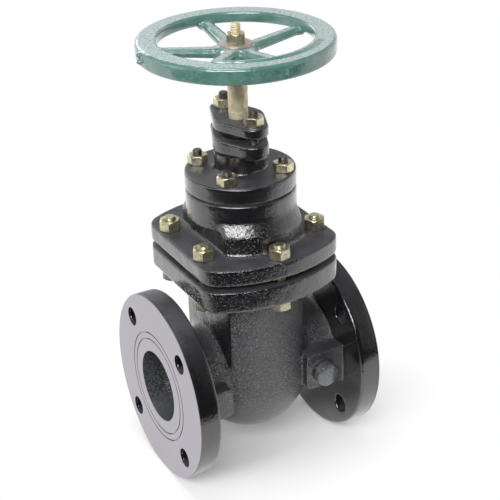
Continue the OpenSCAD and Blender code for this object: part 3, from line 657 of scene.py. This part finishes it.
def skin_tree():
    """The sand's skin on a casting: swells and grain pushed out of the mesh along its normals,
    calmer on the bowl and the decks and gone on the end flanges."""
    tree, given, out = new_tree("Sand-cast skin", [
        ("Geometry", "Geometry", None), ("Grain Width", "Float", 3.2 * MM), ("Grain", "Float", 0.2 * MM),
        ("Swell Width", "Float", 17 * MM), ("Swell", "Float", 0.3 * MM), ("Stem X", "Float", 0.0),
        ("Half Length", "Float", 0.1), ("Finish", "Material", None)])
    place = add(tree, "GeometryNodeInputPosition").outputs[0]
    normal = add(tree, "GeometryNodeInputNormal").outputs[0]
    axes, facing = xyz(tree, place), xyz(tree, normal)
    heights = []
    for width, rise, detail in (("Grain Width", "Grain", 2.0), ("Swell Width", "Swell", 1.0)):
        noise = add(tree, "ShaderNodeTexNoise", None, {
            "Vector": place, "Scale": maths(tree, "DIVIDE", 1.0, given[width]), "Detail": detail})
        level = maths(tree, "SUBTRACT", noise.outputs["Fac"], 0.5)
        heights.append(product(tree, given[rise], product(tree, 2.0, level)))
    deck = bounded(tree, facing["Z"], 0.5, 0.95, 1.0, 0.35)
    bowl = bounded(tree, axes["Z"], -55 * MM, -10 * MM, 0.25, 1.0)
    wall = bounded(tree, maths(tree, "ABSOLUTE", facing["X"]), 0.75, 0.92, 1.0, 0.2)
    from_stem = maths(tree, "ABSOLUTE", maths(tree, "SUBTRACT", axes["X"], given["Stem X"]))
    inner = bounded(tree, from_stem, 74 * MM, 80 * MM, 1.0, 0.0)
    upper = bounded(tree, axes["Z"], 98 * MM, 104 * MM, 1.0, 0.85)
    calmed = product(tree, heights[0], product(tree, deck, bowl, wall))
    rise = product(tree, total(tree, calmed, heights[1]), product(tree, inner, upper))
    offset = add(tree, "ShaderNodeVectorMath", {"operation": "SCALE"}, {0: normal, "Scale": rise})
    skin = add(tree, "GeometryNodeSetPosition", None, {
        "Geometry": given["Geometry"], "Offset": offset.outputs[0]}).outputs[0]
    # The ends stop inside the turned faces, which are laid over them
    side = xyz(tree, add(tree, "GeometryNodeInputPosition").outputs[0])
    near = maths(tree, "MAXIMUM", maths(tree, "SUBTRACT", side["X"], given["Stem X"]),
                 product(tree, given["Half Length"], -1.0))
    near = maths(tree, "MINIMUM", near, given["Half Length"])
    stopped = add(tree, "GeometryNodeSetPosition", None, {
        "Geometry": skin,
        "Position": vector(tree, total(tree, near, given["Stem X"]), side["Y"], side["Z"])}).outputs[0]
    tree.links.new(add(tree, "GeometryNodeSetMaterial", None, {
        "Geometry": stopped, "Material": given["Finish"]}).outputs[0], out[0])
    return tree


# ---------------------------------------------------------------- meshes

def heights(node):
    """Lowest and highest height of a CAD node."""
    return tuple(corner[2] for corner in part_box(node))


def placed(name, mesh):
    """A new object in the scene."""
    item = bpy.data.objects.new(name, mesh)
    bpy.context.scene.collection.objects.link(item)
    return item


def mesh_of(name, work):
    """The mesh that was being made."""
    mesh = bpy.data.meshes.new(name)
    work.to_mesh(mesh)
    work.free()
    return mesh


def outward(mesh, smooth=None):
    """Merges doubles and points the faces outwards; smooth is the sharpest angle still shaded round."""
    work = bmesh.new()
    work.from_mesh(mesh)
    bmesh.ops.remove_doubles(work, verts=work.verts, dist=0.004 * MM)
    bmesh.ops.recalc_face_normals(work, faces=work.faces)
    if smooth is not None:
        for face in work.faces:
            face.smooth = True
        for edge in work.edges:
            if len(edge.link_faces) == 2 and edge.calc_face_angle(0) > smooth:
                edge.smooth = False
    work.to_mesh(mesh)
    work.free()


def settled(item):
    """Turns an object's modifiers into its plain mesh."""
    ready = item.evaluated_get(bpy.context.evaluated_depsgraph_get())
    mesh = bpy.data.meshes.new_from_object(ready)
    item.modifiers.clear()
    item.data = mesh


def rounded(item):
    """Shades an object smooth all over."""
    item.data.polygons.foreach_set("use_smooth", [True] * len(item.data.polygons))


def melted(item, size, rounds):
    """Adds an even mesh of this size whose edges are eased by rounds of smoothing."""
    melt = item.modifiers.new("Melt", "REMESH")
    melt.mode, melt.voxel_size = "VOXEL", size
    calm = item.modifiers.new("Calm", "SMOOTH")
    calm.factor, calm.iterations = 0.5, rounds


def fed(modifier, tree, values):
    """Gives a geometry modifier its tree and the values of its named inputs."""
    modifier.node_group = tree
    for socket in tree.interface.items_tree:
        if socket.in_out == "INPUT" and socket.name in values:
            modifier[socket.identifier] = values[socket.name]


def grown(name, tree, values):
    """A plain mesh object made by the tree with these inputs, which hold metres and radians."""
    item = placed(name, bpy.data.meshes.new(name))
    fed(item.modifiers.new("Form", "NODES"), tree, {"Stem X": STEM_X, **values})
    settled(item)
    outward(item.data)
    return item


def cad_copy(name, node):
    """An object with a merged copy of a CAD node's mesh."""
    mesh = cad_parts[node].data.copy()
    mesh.transform(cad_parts[node].matrix_world)
    mesh.materials.clear()
    work = bmesh.new()
    work.from_mesh(mesh)
    bmesh.ops.remove_doubles(work, verts=work.verts, dist=0.005 * MM)
    for face in work.faces:
        face.material_index = 0
    work.to_mesh(mesh)
    work.free()
    return placed(name, mesh)


def turned_face(start, end, material):
    """The end flange's crisp grooved face: what the body has between two places along the pipe."""
    low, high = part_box("body")
    low = (start, low[1] - MM, low[2] - MM)
    high = (end, high[1] + MM, high[1] + MM)
    item = cad_copy("turned_face", "body")
    work = bmesh.new()
    bmesh.ops.create_cube(work, size=1.0)
    for corner in work.verts:
        corner.co = [low[k] + (corner.co[k] + 0.5) * (high[k] - low[k]) for k in range(3)]
    # Small squares, so that no cut face has to close round a whole hole
    bmesh.ops.subdivide_edges(work, edges=work.edges, cuts=13, use_grid_fill=True)
    cutter = placed("cutter", mesh_of("cutter", work))
    cut = item.modifiers.new("Cut", "BOOLEAN")
    cut.operation, cut.solver, cut.object = "INTERSECT", "EXACT", cutter
    settled(item)
    bpy.data.objects.remove(cutter)
    outward(item.data, math.radians(30))
    item.data.materials.clear()
    item.data.materials.append(material)
    return item


def joined(name, parts):
    """One object from several, with their materials kept."""
    work = bmesh.new()
    materials = []
    for part in parts:
        first = len(work.faces)
        work.from_mesh(part.data)
        work.faces.ensure_lookup_table()
        places = {}
        for index, material in enumerate(part.data.materials):
            if material not in materials:
                materials.append(material)
            places[index] = materials.index(material)
        for face in work.faces[first:]:
            face.material_index = places.get(face.material_index, 0)
    mesh = mesh_of(name, work)
    for material in materials:
        mesh.materials.append(material)
    for part in parts:
        bpy.data.objects.remove(part)
    return placed(name, mesh)


def polar(radius, angle, height, at_x=STEM_X):
    """A place by its radius and height in millimetres and its turn about an upright axis."""
    return Vector((at_x + radius * MM * math.cos(angle), radius * MM * math.sin(angle), height * MM))


def add_turned(work, at_x, profile, segments=96):
    """Adds a turned shell to a mesh being made, from (radius, height) points in millimetres. The
    profile starts and ends on the axis, or else it is closed into a ring."""
    loops = []
    for radius, height in profile:
        count = segments if radius else 1
        loops.append([work.verts.new(polar(radius, 2 * math.pi * i / segments, height, at_x))
                      for i in range(count)])
    pairs = list(zip(loops, loops[1:]))
    if profile[0][0] != 0:
        pairs.append((loops[-1], loops[0]))
    for low, high in pairs:
        for i in range(segments):
            corners = dict.fromkeys([low[i % len(low)], low[(i + 1) % len(low)],
                                     high[(i + 1) % len(high)], high[i % len(high)]])
            if len(corners) > 2:
                work.faces.new(list(corners))


def lathe(name, profile, material, at_x=STEM_X):
    """A closed turned piece, from (radius, height) points in millimetres."""
    work = bmesh.new()
    add_turned(work, at_x, profile)
    mesh = mesh_of(name, work)
    mesh.materials.append(material)
    outward(mesh, math.radians(35))
    return placed(name, mesh)


def drain_boss(turn, sizes, material):
    """The smooth eased end of a drain boss, lying across the pipe."""
    radius, top = sizes.boss_r / MM, sizes.boss_reach / MM
    foot = top - 15.3
    disc = lathe("drain_boss", [
        (0, foot), (radius, foot), (radius, top - 1.5), (radius - 0.35, top - 0.55),
        (radius - 1.3, top), (0, top)], material, 0.0)
    disc.data.transform(
        Matrix.Translation((STEM_X + sizes.boss_x, 0, 0)) @ Matrix.Rotation(turn, 4, "X"))
    return disc


def finish(name):
    """The finish of this name, which valve.finishes has made."""
    return bpy.data.materials[name]


def takes_over(item, node, body):
    """Puts a finished piece in place of a CAD node."""
    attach(item, body)
    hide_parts(node)


# ---------------------------------------------------------------- the handwheel's form

# Turns of the spokes, in degrees: they stand unevenly
SPOKES = (9, 84.5, 160, 220.5, 281)
# Lumps that the mould left on the rim: turn in degrees, and in millimetres how far the middle
# stands past the rim's outside, how far it lies under the rim's top, and the width
LUMPS = ((269, -2.3, 8, 7.4), (174, 1.0, 4.5, 5.4), (175, 1.2, 10.5, 5.8), (222, -0.8, 6, 3.0),
         (318, -14.5, 0.6, 5.0))
LIP_START, LIP_END = 225, 321


def lip_share(turn):
    """How much of the lip stands at this turn of the rim, from 0 to 1."""
    if turn < LIP_START or turn > LIP_END:
        return 0.0
    return min(1.0, (turn - LIP_START) / 1.5, (LIP_END - turn) / 4)


def rim_profile(outer, inner, top, bottom, lip, foot):
    """Section of the rim: (radius, height) round its edge, with round corners, in millimetres. The
    lip stands on the inner edge and slopes down to its foot on the flat top."""
    flat = top - 0.4
    corners = (  # centre, start angle, end angle, radius
        ((outer - 3.2, bottom + 3.5), -100, 0, 3.5),
        ((outer - 3.4, flat - 3.4), 0, 90, 3.4),
        ((inner + 2.2, flat + lip - 2.2), 90, 180, 2.2),
        ((inner + 3.0, bottom + 8.0), 180, 258, 3.0),
    )
    points = []
    for number, ((cx, cz), start, end, radius) in enumerate(corners):
        if number == 2:
            points += [(foot, flat), (inner + 3.2, flat + lip)]
        for i in range(9):
            angle = math.radians(start + (end - start) * i / 8)
            points.append((min(cx + radius * math.cos(angle), outer), cz + radius * math.sin(angle)))
    return points


def add_rim(work, outer, inner, top, sizes):
    """Adds the rim, whose lip stands on a part of its round only."""
    segments = 360
    loops = []
    for i in range(segments):
        turn = 360 * i / segments
        foot = inner + 6.0 + 4.5 * min(1.0, max(0.0, (turn - 250) / 50))
        section = rim_profile(outer, inner, top, top - sizes.rim_depth / MM,
                              lip_share(turn) * sizes.lip / MM, foot)
        loops.append([work.verts.new(polar(radius, math.radians(turn), height))
                      for radius, height in section])
    for here, there in zip(loops, loops[1:] + loops[:1]):
        for k in range(len(here)):
            work.faces.new((here[k], there[k], there[(k + 1) % len(here)], here[(k + 1) % len(here)]))


def add_spoke(work, turn, root_z, tip_z, inner, sizes):
    """Adds a flat oval spoke that thins outwards, and swells where it runs into hub and rim."""
    fillet, hub = sizes.fillet / MM, sizes.hub_r / MM
    start, end, steps, sides = 12, inner + 3, 30, 24
    side = Vector((-math.sin(turn), math.cos(turn), 0))
    rings = []
    for i in range(steps + 1):
        share = i / steps
        radius = start + (end - start) * share
        width, thick = 16.3 - 3.3 * share, 10 - 2 * share
        for past in (hub - radius, radius - inner):
            near = 1.0 if past > 0 else max(0.0, 1 + past / fillet)
            width += 0.9 * fillet * near ** 2
            thick += 0.36 * fillet * near ** 2
        centre = polar(radius, turn, root_z + (tip_z - root_z) * share)
        ring = []
        for k in range(sides):
            around = 2 * math.pi * k / sides
            c, d = math.cos(around), math.sin(around)
            # Rounded sides with broad, nearly flat faces
            across = math.copysign(abs(c) ** 0.8, c) * width / 2
            over = math.copysign(abs(d) ** 0.75, d) * thick / 2
            ring.append(work.verts.new(centre + side * (across * MM) + Vector((0, 0, over * MM))))
        rings.append(ring)
    for here, there in zip(rings, rings[1:]):
        for k in range(sides):
            work.faces.new((here[k], here[(k + 1) % sides], there[(k + 1) % sides], there[k]))
    work.faces.new(rings[0])
    work.faces.new(rings[-1])


def add_lumps(work, outer, top):
    """Adds the lumps; one that lies right at the top is flatter."""
    for turn, past, under, size in LUMPS:
        spot = Matrix.Translation(polar(outer + past, math.radians(turn), top - under))
        flat = Matrix.Diagonal((1, 1, 0.9 if under > 1 else 0.5, 1))
        bmesh.ops.create_icosphere(work, subdivisions=3, radius=size * 0.5 * MM, matrix=spot @ flat)


def wheel_form(sizes):
    """Overlapping closed shells of the rim, hub and spokes, to be melted into one casting."""
    low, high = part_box("handwheel")
    outer, hub = (high[1] - low[1]) / 2 / MM, sizes.hub_r / MM
    inner = outer - sizes.rim_width / MM
    foot, top = low[2] / MM, high[2] / MM
    hub_top = heights("handwheel_washer")[0] / MM
    work = bmesh.new()
    add_rim(work, outer, inner, top, sizes)
    add_turned(work, STEM_X, [
        (0, foot), (hub - 1.05, foot), (hub, foot + 1.2), (hub, hub_top - 1.6),
        (hub - 0.65, hub_top - 0.4), (hub - 1.65, hub_top), (0, hub_top)])
    for turn in SPOKES:
        add_spoke(work, math.radians(turn), foot + 17.7, foot + 22.7, inner, sizes)
    add_lumps(work, outer, top)
    bmesh.ops.recalc_face_normals(work, faces=work.faces)
    return mesh_of("handwheel_cast", work)


# ---------------------------------------------------------------- operators

# Castings: voxel size in millimetres, rounds of smoothing, share of the skin, share of faces kept
CASTINGS = {
    "body": (1.25, 11, 1.0, 0.355),
    "bonnet": (1.1, 20, 0.8, 1.0),
    "stuffing_box": (0.95, 20, 0.4, 1.0),
    "gland": (0.8, 14, 0.3, 1.0),
}


class VALVE_OT_finishes(bpy.types.Operator):
    """Makes the finishes and gives the rings, the gate and the gaskets theirs"""
    bl_idname = "valve.finishes"
    bl_label = "Finishes"

    def execute(self, context):
        colours = context.scene.valve_finishes
        sand_cast_enamel(colours)
        wheel_enamel(colours)
        yellow_zinc(colours)
        dark_steel()
        turned_brass(colours)
        stamped_steel()
        given = {
            bronze(): ("inlet_seat_ring", "outlet_seat_ring", "wedge_rings", "wedge_nut"),
            bare_iron(): ("wedge",),
            gasket_sheet(): ("bonnet_gasket", "stuffing_box_gasket", "packing"),
        }
        for material, names in given.items():
            for name in names:
                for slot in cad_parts[name].material_slots:
                    slot.material = material
        return {"FINISHED"}


class VALVE_OT_castings(bpy.types.Operator):
    """Gives the iron castings their eased edges and the skin that the sand left"""
    bl_idname = "valve.castings"
    bl_label = "Castings"

    def execute(self, context):
        sizes = context.scene.valve_castings
        tree = skin_tree()
        enamel = finish("Black enamel over sand-cast iron")
        low, high = (corner[0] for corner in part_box("body"))
        for node, (size, rounds, skin, share) in CASTINGS.items():
            item = cad_copy(node + "_cast", node)
            melted(item, size * MM, rounds)
            fed(item.modifiers.new("Skin", "NODES"), tree, {
                "Grain Width": sizes.grain, "Grain": sizes.relief * skin, "Swell Width": sizes.swell,
                "Swell": sizes.swell_relief * skin, "Stem X": STEM_X,
                "Half Length": (high - low) / 2 - 0.55 * sizes.turned, "Finish": enamel})
            if share < 1:
                fewer = item.modifiers.new("Fewer", "DECIMATE")
                fewer.ratio = share
            settled(item)
            rounded(item)
            if node == "body":
                item = joined("body_cast", [
                    item,
                    turned_face(low - MM, low + sizes.turned, enamel),
                    turned_face(high - sizes.turned, high + MM, enamel),
                    drain_boss(math.radians(90), sizes, enamel),
                    drain_boss(math.radians(-90), sizes, enamel)])
            takes_over(item, node, "valve")
        return {"FINISHED"}


class VALVE_OT_fasteners(bpy.types.Operator):
    """Makes the bonnet bolts, the studs and their nuts"""
    bl_idname = "valve.fasteners"
    bl_label = "Bolts, studs and nuts"

    def execute(self, context):
        sizes = context.scene.valve_fasteners
        hexagons, rods = nut_tree(), rod_tree()
        self.bonnet_joint(sizes, hexagons, rods)
        right_angle = math.radians(90)
        for name, count, circle, first, seed in (
                ("stuffing_box", sizes.box_studs, sizes.box_circle, right_angle / 2, 5),
                ("gland", 2, sizes.gland_circle, right_angle, 9)):
            where = {"Count": count, "Circle Diameter": circle, "First Angle": first}
            self.studs(name, where, seed, sizes, hexagons, rods)
        return {"FINISHED"}

    def bonnet_joint(self, sizes, hexagons, rods):
        """Three pairs of bolts, each on a circle of its own, and their nuts."""
        zinc = finish("Yellow zinc plated steel, machined")
        corner = math.atan2(sizes.bolt_y, sizes.bolt_x)
        reach = 2 * math.hypot(sizes.bolt_x, sizes.bolt_y)
        low, high = heights("bonnet_bolts")
        nut_low, nut_high = heights("bonnet_nuts")
        under_head = low + sizes.bolt_head
        bolts, nuts = [], []
        for seed, circle, turn in ((11, reach, corner), (15, 2 * sizes.bolt_mid, math.radians(90)),
                                   (19, reach, math.pi - corner)):
            pair = {"Count": 2, "Circle Diameter": circle, "First Angle": turn, "Finish": zinc,
                    "Seed": seed}
            hexagon = {**pair, "Across Flats": sizes.bolt_flats, "Turn": math.radians(30)}
            bolts.append(grown("bonnet_bolt_heads", hexagons, {
                **hexagon, "Height": sizes.bolt_head, "Bored": False, "Base Height": low}))
            bolts.append(grown("bonnet_bolt_shanks", rods, {
                **pair, "Length": high - under_head, "Diameter": sizes.bolt_d,
                "Pitch": sizes.bolt_pitch, "Thread Depth": sizes.thread_depth,
                "Thread From": nut_low - under_head, "End Chamfer": 1.3 * MM,
                "Base Height": under_head}))
            nuts.append(grown("bonnet_nuts", hexagons, {
                **hexagon, "Height": nut_high - nut_low, "Bore": sizes.bolt_d + sizes.play,
                "Base Height": nut_low, "Uneven Turn": sizes.uneven}))
        takes_over(joined("bonnet_bolts_turned", bolts), "bonnet_bolts", "valve")
        takes_over(joined("bonnet_nuts_turned", nuts), "bonnet_nuts", "valve")

    def studs(self, name, where, seed, sizes, hexagons, rods):
        """A ring of studs threaded all along, and their nuts."""
        low, high = heights(name + "_studs")
        nut_low, nut_high = heights(name + "_nuts")
        studs = grown(name + "_studs_turned", rods, {
            **where, "Finish": finish("Black oiled steel, rolled thread"), "Length": high - low,
            "Diameter": sizes.stud_d, "Pitch": sizes.stud_pitch,
            "Thread Depth": sizes.thread_depth * 0.8, "End Chamfer": 1.0 * MM, "Base Height": low})
        takes_over(studs, name + "_studs", "valve")
        nuts = grown(name + "_nuts_turned", hexagons, {
            **where, "Finish": finish("Yellow zinc plated steel, machined"),
            "Across Flats": sizes.stud_flats, "Height": nut_high - nut_low,
            "Bore": sizes.stud_d + sizes.play, "Base Height": nut_low,
            "Uneven Turn": sizes.uneven, "Seed": seed})
        takes_over(nuts, name + "_nuts", "valve")


class VALVE_OT_stem(bpy.types.Operator):
    """Makes the turned stem with its threaded end, and the nut and washer on it"""
    bl_idname = "valve.stem"
    bl_label = "Stem"

    def execute(self, context):
        sizes = context.scene.valve_stem
        self.nut(sizes)
        self.stem(sizes)
        self.washer()
        return {"FINISHED"}

    def nut(self, sizes):
        """The nut that holds the handwheel down."""
        low, high = heights("handwheel_nut")
        nut = grown("handwheel_nut_turned", nut_tree(), {
            "Finish": finish("Yellow zinc plated steel, machined"), "Across Flats": sizes.nut_flats,
            "Height": high - low, "Bore": sizes.end_d + 0.2 * MM, "Base Height": low})
        takes_over(nut, "handwheel_nut", "spindle")

    def stem(self, sizes):
        """The shaft with its collar, a shallow groove over the gland and a neck through the hub."""
        brass = finish("Brass, turned")
        foot, tip = (height / MM for height in heights("stem"))
        gland_top = heights("gland")[1] / MM
        collar_top = heights("bonnet")[1] / MM - 0.1
        collar_foot = collar_top - 9
        hub_foot = heights("handwheel")[0] / MM
        hub_top = heights("handwheel_washer")[0] / MM
        radius, collar, neck, eased = 9.5, 16, 6.2, 0.5
        shaft = lathe("stem_shaft", [
            (0, foot), (radius - 0.9, foot), (radius, foot + 1), (radius, collar_foot),
            (collar - eased, collar_foot), (collar, collar_foot + eased),
            (collar, collar_top - eased), (collar - eased, collar_top), (radius, collar_top),
            (radius, gland_top + 5.2), (radius - 0.3, gland_top + 5.6),
            (radius - 0.3, gland_top + 7.4), (radius, gland_top + 7.8),
            (radius, hub_foot - 0.6), (radius - 0.6, hub_foot), (neck, hub_foot),
            (neck, hub_top - 1), (0, hub_top - 1)], brass)
        end = grown("stem_end", rod_tree(), {
            "Finish": brass, "Length": (tip - hub_top + 2) * MM, "Diameter": sizes.end_d,
            "Pitch": sizes.end_pitch, "Thread Depth": sizes.end_depth, "End Chamfer": 1.4 * MM,
            "Base Height": (hub_top - 2) * MM})
        takes_over(joined("stem_turned", [shaft, end]), "stem", "spindle")

    def washer(self):
        """A stamped ring whose outer edge is eased."""
        low, high = (height / MM for height in heights("handwheel_washer"))
        bore, rim, eased = 5.1, 15.5, 0.5
        washer = lathe("handwheel_washer_stamped", [
            (bore, low), (rim - eased, low), (rim, low + eased), (rim, high - eased),
            (rim - 0.15, high - 0.15), (rim - eased, high), (bore, high)],
            finish("Passivated steel, stamped"))
        takes_over(washer, "handwheel_washer", "spindle")


class VALVE_OT_handwheel(bpy.types.Operator):
    """Makes the cast handwheel: rim, spokes and hub run into each other with fillets"""
    bl_idname = "valve.handwheel"
    bl_label = "Handwheel"

    def execute(self, context):
        sizes = context.scene.valve_wheel
        wheel = wheel_form(sizes)
        wheel.materials.append(finish("Green enamel over cast iron"))
        item = placed("handwheel_cast", wheel)
        melted(item, sizes.grain, 8)
        settled(item)
        rounded(item)
        takes_over(item, "handwheel", "spindle")
        return {"FINISHED"}


class VALVE_OT_stage(bpy.types.Operator):
    """Makes the floor, the lights, the world and the camera"""
    bl_idname = "valve.stage"
    bl_label = "Stage"

    def execute(self, context):
        studio = context.scene.valve_studio
        make_floor(CAD_BOX[0][2])
        make_world(studio)
        make_lamps(studio)
        make_camera(context, studio)
        context.scene.view_settings.view_transform = "Standard"
        return {"FINISHED"}


# ---------------------------------------------------------------- stage

# Soft boxes: place and size in metres, and share of the key light's power
SOFT_BOXES = {
    "Window soft box": ((-0.66, -0.86, 0.98), (1.1, 0.42), 1.9),
    "Overhead soft box": ((0.0, 0.1, 1.45), (0.6, 0.4), 0.62),
    "Back soft box": ((0.05, 1.35, 0.86), (0.8, 0.5), 0.34),
    "Left soft box": ((-1.3, 0.2, 0.55), (0.8, 0.9), 0.2),
}
WHITE = (1, 1, 1, 1)


def make_lamps(studio):
    """Soft boxes that all look at the middle of the valve."""
    centre = Vector((STEM_X, 0, 0.13))
    for name, (place, size, share) in SOFT_BOXES.items():
        light = bpy.data.lights.new(name, "AREA")
        light.shape = "RECTANGLE"
        light.size, light.size_y = size
        light.energy = studio.key * share
        lamp = placed(name, light)
        lamp.location = place
        lamp.rotation_euler = (centre - Vector(place)).to_track_quat("-Z", "Y").to_euler()


def to_front(tree, way):
    """How far a place or a direction, seen from the valve, lies in front of it."""
    return total(tree, product(tree, way["X"], -0.47), product(tree, way["Y"], -0.88))


def make_floor(height):
    """A wide pale floor that fades into the white round its edge and keeps the valve's shadow."""
    work = bmesh.new()
    bmesh.ops.create_circle(work, cap_ends=True, radius=3.0, segments=64,
                            matrix=Matrix.Translation((STEM_X, 0, height)))
    item = placed("floor", mesh_of("floor", work))
    material, tree, surface, place = shader("Matt white studio sweep")
    axes = xyz(tree, add(tree, "ShaderNodeMapping", None, {
        "Vector": place, "Location": (-STEM_X, 0, 0)}).outputs[0])
    fade = bounded(tree, from_axis(tree, axes["X"], product(tree, axes["Y"], 1.9)), 0.085, 0.235)
    # The white sheet ends a little way in front of the valve, over a dark floor
    sheet = bounded(tree, to_front(tree, axes), 0.27, 0.31, 1.0, 0.0)
    path = add(tree, "ShaderNodeLightPath").outputs
    seen = maths(tree, "MAXIMUM", path["Is Camera Ray"], path["Is Transmission Ray"])
    fill(tree, surface, {
        "Base Color": blend(
            tree, maths(tree, "MAXIMUM", sheet, seen), hexcolour("#1c1c1e"), hexcolour("#f7f7f7")),
        "Roughness": 0.9,
        "Specular IOR Level": 0.1})
    lift = add(tree, "ShaderNodeEmission", None, {"Color": WHITE, "Strength": product(tree, seen, 0.13)})
    lit = add(tree, "ShaderNodeAddShader", None, {0: surface.outputs[0], 1: lift.outputs[0]})
    white = add(tree, "ShaderNodeEmission", None, {"Color": WHITE, "Strength": 1.0})
    shine = maths(tree, "MAXIMUM", seen, product(tree, path["Is Glossy Ray"], sheet))
    mix = add(tree, "ShaderNodeMixShader", None, {
        "Fac": product(tree, fade, shine), 1: lit.outputs[0], 2: white.outputs[0]})
    tree.links.new(mix.outputs[0], tree.nodes["Material Output"].inputs["Surface"])
    item.data.materials.append(material)
    return item


def make_world(studio):
    """White round the floor's edge; the room it stands in is white to the left and behind,
    and dark over and in front of the valve."""
    world = bpy.data.worlds.new("Studio room")
    bpy.context.scene.world = world
    world.use_nodes = True
    tree = world.node_tree
    even = tree.nodes["Background"]
    fill(tree, even, {"Color": WHITE, "Strength": studio.fill})
    way = xyz(tree, add(tree, "ShaderNodeTexCoord").outputs["Generated"])
    aside = bounded(tree, to_front(tree, way), 0.25, 0.6, 1.0, 0.02)
    low = bounded(tree, way["Z"], 0.05, 0.75, 1.0, 0.08)
    white = add(tree, "ShaderNodeBackground", None, {"Color": WHITE, "Strength": 1.0})
    room = add(tree, "ShaderNodeBackground", None, {
        "Color": WHITE, "Strength": product(tree, aside, low)})
    path = add(tree, "ShaderNodeLightPath").outputs
    mirrored = add(tree, "ShaderNodeMixShader", None, {
        "Fac": path["Is Glossy Ray"], 1: even.outputs[0], 2: room.outputs[0]})
    seen = maths(tree, "MAXIMUM", path["Is Camera Ray"], path["Is Transmission Ray"])
    mix = add(tree, "ShaderNodeMixShader", None, {
        "Fac": seen, 1: mirrored.outputs[0], 2: white.outputs[0]})
    tree.links.new(mix.outputs[0], tree.nodes["World Output"].inputs["Surface"])


def make_camera(context, studio):
    """A long lens a little above the valve, set by its turn, height and roll."""
    az, el, roll = studio.azimuth, studio.elevation, studio.roll
    back = Vector((math.sin(az) * math.cos(el), -math.cos(az) * math.cos(el), math.sin(el)))
    right = Vector((math.cos(az), math.sin(az), 0))
    up = back.cross(right)
    tilted = math.cos(roll) * right + math.sin(roll) * up
    stood = -math.sin(roll) * right + math.cos(roll) * up
    lens = bpy.data.cameras.new("Camera")
    lens.lens = studio.lens
    lens.sensor_width = 36
    lens.shift_y = studio.shift
    lens.clip_start, lens.clip_end = 0.05, 20
    camera = placed("Camera", lens)
    turn = Matrix((tilted, stood, back)).transposed().to_4x4()
    camera.matrix_world = Matrix.Translation(studio.stand) @ turn
    context.scene.camera = camera


# ---------------------------------------------------------------- add-on

class VALVE_PT_sidebar(bpy.types.Panel):
    """Lists the valve's pieces and their sizes"""
    bl_idname = "VALVE_PT_sidebar"
    bl_label = "Gate valve"
    bl_space_type = "VIEW_3D"
    bl_region_type = "UI"
    bl_category = "Valve"

    def draw(self, context):
        for group in GROUPS:
            settings = getattr(context.scene, group)
            for name in settings.__annotations__:
                self.layout.prop(settings, name)
        for operator in OPERATORS:
            self.layout.operator(operator.bl_idname)


GROUPS = {
    "valve_castings": CastSizes,
    "valve_fasteners": FastenerSizes,
    "valve_stem": StemSizes,
    "valve_wheel": WheelSizes,
    "valve_finishes": Finishes,
    "valve_studio": Studio,
}
OPERATORS = (
    VALVE_OT_finishes, VALVE_OT_castings, VALVE_OT_fasteners, VALVE_OT_stem,
    VALVE_OT_handwheel, VALVE_OT_stage)


def register():
    for item in (*GROUPS.values(), *OPERATORS, VALVE_PT_sidebar):
        bpy.utils.register_class(item)
    for name, group in GROUPS.items():
        setattr(bpy.types.Scene, name, bpy.props.PointerProperty(type=group))


def unregister():
    for name in GROUPS:
        delattr(bpy.types.Scene, name)
    for item in (VALVE_PT_sidebar, *OPERATORS, *GROUPS.values()):
        bpy.utils.unregister_class(item)


def main():
    register()
    bpy.ops.valve.finishes()
    bpy.ops.valve.castings()
    bpy.ops.valve.fasteners()
    bpy.ops.valve.stem()
    bpy.ops.valve.handwheel()
    bpy.ops.valve.stage()


if __name__ == "__main__":
    main()
